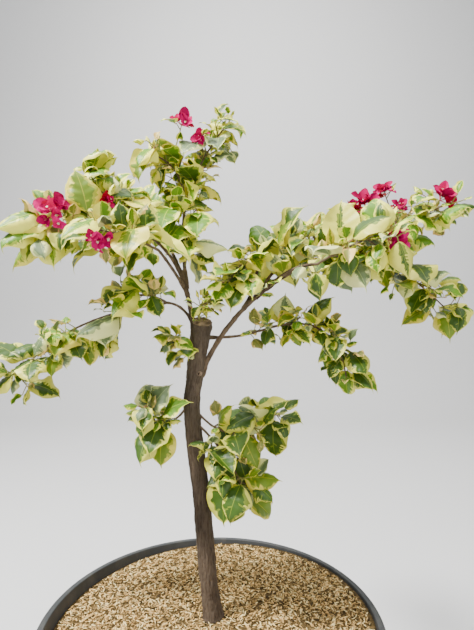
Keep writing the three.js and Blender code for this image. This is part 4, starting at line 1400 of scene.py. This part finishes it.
class PLANT_OT_twigs(bpy.types.Operator):
    """Green stems, side twigs, shoots and leaf stalks of every mass"""
    bl_idname = "plant.twigs"
    bl_label = "Stems and twigs"

    def execute(self, context):
        sizes = context.scene.bougainvillea_foliage
        wood = context.scene.bougainvillea_wood
        green = new_material("green_stem", wood.green_stem, 0.55, 500, 0.0003, 0.35)
        brown = new_material("brown_stem", wood.young_bark, 0.7, 420, 0.0004, 0.25)
        blush = new_material("blush_stalk", from_srgb(176, 120, 82), 0.55, 500, 0.0003, 0.35)
        stem, twig = sizes.stem_radius / MM, sizes.twig_radius / MM
        stalk = sizes.stalk_radius / MM
        chance = np.random.default_rng(sizes.seed)
        sheet = Sheet()
        for mass in plant.masses:
            count = STEM_PARTS * mass.route.rows
            points = mass.route.spaced(count)
            smooth = points.copy()
            smooth[1:-1] = (points[:-2] + 2 * points[1:-1] + points[2:]) / 4
            inward = points[0] if mass.on_trunk else mass.limb.route.point(1)
            smooth[0] = lerp(points[0], inward, STEM_INWARD)
            at_node = np.arange(count + 1) % STEM_PARTS == 0
            root, tip = STEM_TAPER
            radii = np.linspace(root * stem, tip * stem, count + 1)
            radii *= 1 + NODE_THICKENING * at_node
            add_limb(sheet, smooth, radii, STEM_SIDES, BROWN if mass.reach > LONG_REACH else GREEN)
            for route in mass.twigs:
                line = twig_line(route, TWIG_PARTS, UP * chance.uniform(*TWIG_SAGS))
                shade = BROWN if chance.random() < BROWN_TWIGS else GREEN
                add_tapered(sheet, line, twig, TWIG_TAPER, TWIG_SIDES, shade)
            for route in mass.shoots:
                line = twig_line(route, SHOOT_PARTS, UP * chance.uniform(*SHOOT_SAGS))
                add_tapered(sheet, line, twig, SHOOT_TAPER, STALK_SIDES, GREEN)
            for blade in (*mass.leaves, *mass.young):
                shade = BLUSH if chance.random() < BLUSH_STALKS else GREEN
                add_tapered(sheet, stalk_of(blade), stalk, STALK_TAPER, STALK_SIDES, shade)
        sheet.piece("stems_and_stalks", (green, brown, blush), "foliage")
        return {"FINISHED"}


class PLANT_OT_leaves(bpy.types.Operator):
    """The full leaves, region by region, in place of the frame's masses"""
    bl_idname = "plant.leaves"
    bl_label = "Leaves"

    def execute(self, context):
        sizes = context.scene.bougainvillea_foliage
        chance = np.random.default_rng(sizes.seed)
        for region in REGIONS:
            sheet = Sheet()
            for mass in masses_of(region):
                for blade in mass.leaves:
                    kind = kind_of_leaf(chance, blade, False)
                    add_leaf(sheet, blade, chance, kind, LEAF_ROWS, sizes.arch)
            replaced = [mass.name for mass in masses_of(region)]
            sheet.piece(region + "_leaves", leaf_materials(), "foliage", replaced)
        return {"FINISHED"}


class PLANT_OT_young_leaves(bpy.types.Operator):
    """The small young leaves between the full ones"""
    bl_idname = "plant.young_leaves"
    bl_label = "Young leaves"

    def execute(self, context):
        sizes = context.scene.bougainvillea_foliage
        chance = np.random.default_rng(sizes.seed + 1)
        for side, regions in (("upper", ("top", "left", "right_tip", "right_inner")),
                              ("lower", ("low_left", "low_right"))):
            sheet = Sheet()
            for region in regions:
                for mass in masses_of(region):
                    for blade in mass.young:
                        kind = kind_of_leaf(chance, blade, True)
                        add_leaf(sheet, blade, chance, kind, YOUNG_ROWS, sizes.arch)
            sheet.piece("young_leaves_" + side, leaf_materials(), "foliage")
        return {"FINISHED"}


# Blossom: papery bracts in threes round slim tube flowers

MAGENTA, CRIMSON, ROSE, TUBE, STAR = range(5)
BRACT_ROWS = 12
BRACT_COLUMNS = 9
BRACT_SHAPE = (0.5, 0.62)
BRACT_FULLNESS = 0.78
BRACT_CUP = 0.32
BRACT_WAVES = 0.13
BRACT_VEINS = 0.05
BRACT_CUPS = (0.3, 0.9)
BRACT_TIPS = (-0.2, 0.7)
BRACT_FIRST_SLOPE = 0.25
BRACT_EDGE_WAVES = (1.5, 2.8)
BRACT_SPREADS = (0.35, 0.85)
BRACT_LIFT = 1.1
BRACT_SIZES = (0.85, 1.1)
BLOSSOM_SEED = 11
EXTRA_BLOOMS = 5
EXTRA_ASIDE, EXTRA_RISE, EXTRA_SIZES = (8, 16), (-7, 5), (0.4, 0.75)
EXTRA_LEAN = 0.7
FLOWER_LEAN = (-0.3, 0.3)
FULL_BLOOM = 0.5
TUBE_RADII = (0.7, 0.9, 1.15, 0.95, 0.8, 1.0)
TUBE_SIDES = 7
STAR_POINTS = 5
STAR_LIFT = (0.7, 0.2)
OPEN_SHARE = 0.35
OPEN_STAR = (2.2, STAR)
SHUT_STAR = (1.1, TUBE)
STALK_RADII = (0.9, 0.8, 0.7, 0.7)
STALK_PLACES = (0, 0.4, 0.8, 1)
BLOOM_STALK = 7


def add_bract(sheet, blade, chance, slot):
    """A broad thin bract, cupped round the flower and waved at its edge"""
    at = np.linspace(0, 1, BRACT_ROWS + 1)
    outline = power_shape(at, *BRACT_SHAPE) * blade.width / 2
    cup = chance.uniform(*BRACT_CUPS)
    slope = BRACT_FIRST_SLOPE - cup * at + chance.uniform(*BRACT_TIPS) * at ** 3
    run, rise = integrated(slope, blade.length / BRACT_ROWS)
    corners = []
    phase, waves = chance.random(2), chance.uniform(*BRACT_EDGE_WAVES)
    for part in np.linspace(-1, 1, BRACT_COLUMNS):
        edge = np.sin(math.tau * (waves * at + phase[int(part > 0)]))
        veins = np.cos(math.tau * (5 * at - 1.2 * abs(part))) * (1 - abs(part))
        lift = outline * (BRACT_CUP * part ** 2 + BRACT_WAVES * part ** 2 * edge
                          + BRACT_VEINS * veins)
        corners.append(blade.root + run[:, None] * blade.along
                       + (outline * part)[:, None] * blade.across
                       + (rise + lift)[:, None] * blade.normal)
    add_pointed(sheet, np.stack(corners, 1), np.full((BRACT_ROWS, BRACT_COLUMNS - 1), slot))


def add_flower(sheet, root, heading, length, chance):
    """A slim tube, still shut or open to a small pale star"""
    across, over = sides_of(heading)
    lean = across * chance.uniform(*FLOWER_LEAN) + over * chance.uniform(*FLOWER_LEAN)
    way = unit(heading + lean)
    parts = len(TUBE_RADII) - 1
    points = StraightRoute(root, root + way * length).spaced(parts)
    add_limb(sheet, points, TUBE_RADII, TUBE_SIDES, TUBE)
    across, over = sides_of(way)
    open_reach, slot = OPEN_STAR if chance.random() < OPEN_SHARE else SHUT_STAR
    count = 2 * STAR_POINTS
    star = []
    for point in range(count):
        reach = open_reach * (0.5 if point % 2 else 1)
        lift = way * STAR_LIFT[point % 2]
        star.append(points[-1] + turned(across, over, point * math.pi / STAR_POINTS) * reach + lift)
    star.append(points[-1] + way * STAR_LIFT[1])
    sheet.add(np.array(star), fan(count, 0, count)[:, ::-1], slot)


def cluster_of(bloom, chance):
    """The places, ways and sizes of a bloom's ring of bracts and of the smaller ones round it"""
    centre, heading, across, over, full = bloom
    facing = unit(heading + unit(SEEN_FROM - centre))
    spots = [(centre, facing, full)]
    for extra in range(EXTRA_BLOOMS if full > FULL_BLOOM else 0):
        aside = turned(across, over, extra * GOLDEN_ANGLE + chance.uniform(0, 1))
        offset = aside * chance.uniform(*EXTRA_ASIDE) + heading * chance.uniform(*EXTRA_RISE)
        way = unit(facing + aside * EXTRA_LEAN)
        spots.append((centre + offset * full, way, full * chance.uniform(*EXTRA_SIZES)))
    return spots


class PLANT_OT_blossom(bpy.types.Operator):
    """Clusters of magenta bracts with their flowers, at the places that the frame's blooms hold"""
    bl_idname = "plant.blossom"
    bl_label = "Blossom"

    def execute(self, context):
        sizes = context.scene.bougainvillea_blossom
        chance = np.random.default_rng(BLOSSOM_SEED)
        materials = [new_material("bract_" + name, getattr(sizes, name), 0.7, 300, 0.0004, 0.1)
                     for name in ("magenta", "crimson", "rose")]
        materials += [new_material("flower_tube", from_srgb(206, 96, 104), 0.5, 400, 0.0002, 0.3),
                      new_material("flower_star", from_srgb(240, 232, 196), 0.5, 400, 0.0002, 0.3)]
        bracts, flowers = Sheet(), Sheet()
        bract_length, tube_length = sizes.bract_length / MM, sizes.tube_length / MM
        for bloom in [bloom for mass in plant.masses for bloom in mass.blossoms]:
            centre, heading = bloom[:2]
            for place, way, size in cluster_of(bloom, chance):
                across, over = sides_of(way)
                turn = chance.uniform(0, 2)
                shade = int(chance.choice([MAGENTA, MAGENTA, CRIMSON, ROSE]))
                for bract in range(BRACTS):
                    outward = turned(across, over, turn + bract * math.tau / BRACTS)
                    spread = chance.uniform(*BRACT_SPREADS)
                    along = way * (BRACT_LIFT - spread) + outward * spread
                    length = bract_length * size * chance.uniform(*BRACT_SIZES)
                    blade = Blade(place, along, way, length, BRACT_FULLNESS)
                    add_bract(bracts, blade, chance, shade)
                for _ in range(BRACTS):
                    add_flower(flowers, place + way, way, tube_length * size, chance)
                if place is not centre:
                    root = centre - heading * BLOOM_STALK
                    points = np.array([lerp(root, place, part) for part in STALK_PLACES])
                    add_limb(flowers, points, STALK_RADII, STALK_SIDES, TUBE)
        bracts.piece("bracts", materials, "foliage")
        flowers.piece("tube_flowers", materials, "foliage")
        return {"FINISHED"}


# Pot and mulch

POT_SECTORS = 144
WALL_LEVELS = (26, 60, 120, 180, 240, 300, 345)
BEAD_LEVELS = (352, 362)
BEAD_HALF_WIDTH = 1.2
BEAD_HEIGHT = 0.9
INSIDE_LEVELS = (386, 376, 340, 200, POT_FLOOR + 6)
BED_SECTORS = 96
BED_RINGS = 26
BED_BUMPS = (1.3, 14)
BED_SUNK = 0.8
STRAW, PALE, TAN, BROWN_HUSK = range(4)
HUSK_TONES = (STRAW, STRAW, STRAW, PALE, PALE, TAN, TAN, BROWN_HUSK)
HUSK_SPREAD = 264
HUSK_AREA = (0.0035, 0.965)
HUSK_SIZES = (0.75, 1.1)
HUSK_SEED = 3
HUSK_TIP, HUSK_ROLL = 0.38, 0.5
HUSK_LEVELS = (-0.8, 2.4)
HUSK_BUMPS = (1.2, 14)


def outer_radius(height):
    """Radius of the pot's outside at a height"""
    return lerp(POT_FOOT_RADIUS, POT_RIM_RADIUS, height / POT_HEIGHT)


def inner_radius(height):
    """Radius of the pot's inside at a height"""
    return outer_radius(height) - POT_WALL


def bend(centre, radius, start, end, steps):
    """Points on a rounded edge, from one angle to another"""
    angles = [math.radians(lerp(start, end, step / steps)) for step in range(steps + 1)]
    return [(centre[0] + radius * math.cos(angle), centre[1] + radius * math.sin(angle))
            for angle in angles]


def pot_profile():
    """The pot's section from its centre underneath, round the lip and down to its centre inside"""
    lip = POT_RIM_RADIUS + LIP_OVERHANG
    lip_foot = POT_HEIGHT - LIP_DROP
    foot = POT_FOOT_RADIUS
    line = [(0, 0), (foot * 0.5, 0), (foot - POT_EDGE_ROUND, 0)]
    line += bend((foot - POT_EDGE_ROUND + 0.5, POT_EDGE_ROUND), POT_EDGE_ROUND, -88, -12, 5)
    line += [(outer_radius(height), height) for height in WALL_LEVELS]
    for level in BEAD_LEVELS:
        wall = outer_radius(level)
        line += [(wall, level - BEAD_HALF_WIDTH), (wall + BEAD_HEIGHT, level),
                 (wall, level + BEAD_HALF_WIDTH)]
    line += [(outer_radius(lip_foot - 2), lip_foot - 2), (outer_radius(lip_foot) + 1.5, lip_foot)]
    line += bend((lip - 1.5, lip_foot + 1.5), 1.5, -90, 0, 3)
    line += bend((lip - 5, POT_HEIGHT - 5), 5, 0, 90, 6)
    line += bend((POT_RIM_RADIUS - POT_WALL + 2, POT_HEIGHT - 2), 2, 90, 180, 4)
    line += [(inner_radius(height), height) for height in INSIDE_LEVELS]
    line += [(inner_radius(POT_FLOOR) - 4, POT_FLOOR), (0, POT_FLOOR)]
    return line


def add_closed_rings(sheet, rings, low, high):
    """Rings of corners from low to high, closed by a place in the middle at each end"""
    rows, sides = len(rings), len(rings[0])
    sheet.add(np.vstack([*rings, [low], [high]]), grid_faces(rows, sides, True), 0)
    sheet.add_faces(fan(sides, 0, rows * sides)[:, ::-1], 0)
    sheet.add_faces(fan(sides, (rows - 1) * sides, rows * sides + 1), 0)


def level_ring(radius, height, angles):
    """A ring of corners about the pot's axis"""
    across, depth = radius * np.cos(angles), radius * np.sin(angles)
    return np.stack([across, depth, np.full(len(angles), height)], -1)


class PLANT_OT_pot(bpy.types.Operator):
    """The moulded pot with its rolled lip"""
    bl_idname = "plant.pot"
    bl_label = "Pot"

    def execute(self, context):
        look = context.scene.bougainvillea_pot
        plastic = tint_by_noise(new_material("pot_plastic", look.plastic, 0.6, 900, 0.0002, 0.4),
                                (look.plastic, look.plastic, mixed(look.plastic, look.dust, 0.16)),
                                24, (1, 1, 0.35), 0.2)
        sheet = Sheet()
        (_, underside), *profile, (_, floor) = pot_profile()
        angles = np.arange(POT_SECTORS) * math.tau / POT_SECTORS
        rings = [level_ring(radius, height, angles) for radius, height in profile]
        add_closed_rings(sheet, rings, (0, 0, underside), (0, 0, floor))
        sheet.piece("moulded_pot", (plastic,), "pot_plastic", ("pot",))
        return {"FINISHED"}


def edge_level(angle):
    """Height of the mulch at the wall"""
    return MULCH_EDGE_LEVEL + MULCH_EDGE_SWING * np.cos(angle - MULCH_HIGH_SIDE)


def mulch_level(x, y):
    """Height of the mulch at a place: level round the trunk, falling to the wall"""
    edge = edge_level(np.arctan2(y, x))
    wall = inner_radius(edge) - CLEARANCE
    seat = MULCH_SEAT_RADIUS / (POT_RIM_RADIUS - POT_WALL)
    return lerp(MULCH_LEVEL, edge, smoothstep(np.hypot(x, y) / wall, seat, 1))


HUSK_WIDTH, HUSK_DEPTH = 0.17, 0.11
# Each ring of a husk: its place along it, its width and its height
HUSK_RINGS = ((0.28, 0.7, 0.75), (0.68, 0.85, 0.7))


def husk_corners():
    """A boat-shaped husk one unit long: two tips, and two four-sided rings between them"""
    corners = [(-0.5, 0, 0.02)]
    for at, wide, high in HUSK_RINGS:
        half, top = HUSK_WIDTH * wide, HUSK_DEPTH * high
        corners += [(at - 0.5, -half, 0), (at - 0.5, 0, top), (at - 0.5, half, 0),
                    (at - 0.5, 0, -0.45 * top)]
    corners.append((0.5, 0, 0.03))
    return np.array(corners)


HUSK_FACES = [face for side, after in ((0, 1), (1, 2), (2, 3), (3, 0)) for face in (
    (1 + side, 1 + after, 0), (5 + side, 1 + after, 1 + side),
    (5 + side, 5 + after, 1 + after), (5 + after, 5 + side, 9))]


def rotation(angle, axis):
    """Turns rows of corners about one of the three axes"""
    return np.array(Matrix.Rotation(angle, 3, axis)).T


class PLANT_OT_mulch(bpy.types.Operator):
    """The bed of rice husks: a bumpy filling, painted dark for the shade between the husks, with
    loose husks all over it
    """
    bl_idname = "plant.mulch"
    bl_label = "Husk mulch"

    def execute(self, context):
        look = context.scene.bougainvillea_pot
        # The filling is the husk colour darkened to under half and down to a few hundredths:
        # painted shade in the gaps between the loose husks
        bed = tint_by_noise(new_material("husk_bed", look.husk, 0.95, 300, 0.001, 0.15),
                            shades(look.husk, 0.04, 0.14, 0.4), 160, (1, 1, 1), 0.2)
        straw, tan, brown = shades(look.husk, 1, 0.45, 0.1)
        tones = (("straw", straw), ("pale", look.pale_husk), ("tan", tan), ("brown", brown))
        straws = [new_material("husk_" + name, tone, 0.8, 700, 0.0003, 0.25)
                  for name, tone in tones]
        angles = np.arange(BED_SECTORS) * math.tau / BED_SECTORS
        wall = inner_radius(edge_level(angles)) - CLEARANCE
        bottom = POT_FLOOR + CLEARANCE
        rings = [level_ring(inner_radius(bottom) - CLEARANCE, bottom, angles)]
        bump, bump_size = BED_BUMPS
        for ring in range(BED_RINGS + 1):
            part = 1 - ring / (BED_RINGS + 1)
            x, y = wall * part * np.cos(angles), wall * part * np.sin(angles)
            level = mulch_level(x, y)
            if ring:
                bumps = [bump * rippled((a, b, 0), bump_size) for a, b in zip(x, y)]
                level = level - BED_SUNK + np.array(bumps)
            rings.append(np.stack([x, y, level], -1))
        sheet = Sheet()
        add_closed_rings(sheet, rings, (0, 0, bottom), (0, 0, MULCH_LEVEL - 1))
        sheet.piece("mulch_bed", (bed,), "mulch", ("mulch",))
        chance = np.random.default_rng(HUSK_SEED)
        shape = husk_corners()
        bump, bump_size = HUSK_BUMPS
        for part, first_angle in (("near", math.pi), ("far", 0)):
            sheet = Sheet()
            for _ in range(look.husk_count // 2):
                distance = math.sqrt(chance.uniform(*HUSK_AREA)) * HUSK_SPREAD
                angle = chance.uniform(0, math.pi) + first_angle
                x, y = distance * math.cos(angle), distance * math.sin(angle)
                turn = chance.uniform(0, math.tau)
                tip, roll = chance.normal(0, HUSK_TIP), chance.normal(0, HUSK_ROLL)
                husk = shape * look.husk_length / MM * chance.uniform(*HUSK_SIZES)
                husk = husk @ rotation(roll, "X") @ rotation(-tip, "Y") @ rotation(turn, "Z")
                level = float(mulch_level(x, y)) + bump * rippled((x, y, 0), bump_size)
                level += chance.uniform(*HUSK_LEVELS)
                sheet.add(husk + (x, y, level), HUSK_FACES, int(chance.choice(HUSK_TONES)))
            sheet.piece("husks_" + part, straws, "mulch")
        return {"FINISHED"}


# Stage

# Each light: its name, its place, what it shines at, its width and its power
LIGHTS = (
    ("sky_light", (0.2, -0.6, 3.4), (0, 0, 0.8), 2.2, 60),
    ("sun_light", (-1.6, -0.6, 3.0), (0, 0, 0.95), 0.45, 205),
    ("front_light", (1.3, -2.8, 1.5), (0, 0, 0.85), 2.0, 30),
    ("backdrop_light", (0, 1.6, 4.6), (0, 5, 1.6), 3.0, 190),
)
FLOOR_SIZE = 7
FLOOR_BEND = 1.2
FLOOR_BEND_STEPS = 12
SKY_COLOUR = (0.86, 0.9, 1, 1)
SKY_STRENGTH = 0.48
SENSOR_WIDTH = 36


class PLANT_OT_stage(bpy.types.Operator):
    """A pale floor that runs up behind the plant, soft lights, and the camera"""
    bl_idname = "plant.stage"
    bl_label = "Floor, lights and camera"

    def execute(self, context):
        look = context.scene.bougainvillea_stage
        paint = new_material("stage_paint", look.floor, 0.85, 60, 0.0005, 0.2)
        line = [(-FLOOR_SIZE, 0), (FLOOR_SIZE / 2, 0)]
        line += [(FLOOR_SIZE / 2 + FLOOR_BEND * math.sin(turn), FLOOR_BEND * (1 - math.cos(turn)))
                 for turn in np.linspace(0.1, math.pi / 2, FLOOR_BEND_STEPS)]
        line.append((FLOOR_SIZE / 2 + FLOOR_BEND, FLOOR_SIZE))
        corners = [(side * FLOOR_SIZE, y, z) for y, z in line for side in (-1, 1)]
        mesh = bpy.data.meshes.new("stage_floor")
        mesh.from_pydata(corners, [], [(2 * row, 2 * row + 1, 2 * row + 3, 2 * row + 2)
                                       for row in range(len(line) - 1)])
        mesh.polygons.foreach_set("use_smooth", [True] * (len(line) - 1))
        mesh.materials.append(paint)
        add_to_scene("stage_floor", mesh)
        for name, place, target, size, power in LIGHTS:
            data = bpy.data.lights.new(name, "AREA")
            data.shape = "DISK"
            data.size = size
            data.energy = power
            light = add_to_scene(name, data)
            light.location = place
            way = Vector(target) - Vector(place)
            light.rotation_euler = way.to_track_quat("-Z", "Y").to_euler()
        world = context.scene.world or bpy.data.worlds.new("studio")
        context.scene.world = world
        world.use_nodes = True
        background = world.node_tree.nodes["Background"]
        background.inputs["Color"].default_value = SKY_COLOUR
        background.inputs["Strength"].default_value = SKY_STRENGTH
        data = bpy.data.cameras.new("camera")
        data.sensor_width = SENSOR_WIDTH
        data.lens = look.lens
        data.shift_y = look.horizon
        camera = add_to_scene("camera", data)
        camera.location = look.camera_place
        camera.rotation_euler = (math.pi / 2, 0, 0)
        context.scene.camera = camera
        return {"FINISHED"}


class PLANT_PT_panel(bpy.types.Panel):
    """Lists the pieces of the plant"""
    bl_idname = "PLANT_PT_panel"
    bl_label = "Potted bougainvillea"
    bl_space_type = "VIEW_3D"
    bl_region_type = "UI"
    bl_category = "Bougainvillea"

    def draw(self, context):
        for name in GROUPS:
            settings = getattr(context.scene, name)
            box = self.layout.box()
            for key in settings.__annotations__:
                box.prop(settings, key)
        for operator in OPERATORS:
            self.layout.operator(operator.bl_idname)


GROUPS = {
    "bougainvillea_foliage": BougainvilleaFoliage,
    "bougainvillea_blossom": BougainvilleaBlossom,
    "bougainvillea_wood": BougainvilleaWood,
    "bougainvillea_pot": BougainvilleaPot,
    "bougainvillea_stage": BougainvilleaStage,
}
OPERATORS = (PLANT_OT_stage, PLANT_OT_pot, PLANT_OT_mulch, PLANT_OT_trunk, PLANT_OT_boughs,
             PLANT_OT_twigs, PLANT_OT_leaves, PLANT_OT_young_leaves, PLANT_OT_blossom)


def register():
    """Makes the settings, the operators and the panel known"""
    for group in (*GROUPS.values(), *OPERATORS, PLANT_PT_panel):
        bpy.utils.register_class(group)
    for name, group in GROUPS.items():
        setattr(bpy.types.Scene, name, PointerProperty(type=group))


def unregister():
    """Takes them all away again"""
    for name in GROUPS:
        delattr(bpy.types.Scene, name)
    for group in (PLANT_PT_panel, *reversed(OPERATORS), *reversed(GROUPS.values())):
        bpy.utils.unregister_class(group)


def main():
    """Builds every piece"""
    register()
    for operator in OPERATORS:
        group, name = operator.bl_idname.split(".")
        getattr(getattr(bpy.ops, group), name)()
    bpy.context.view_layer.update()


if __name__ == "__main__":
    main()
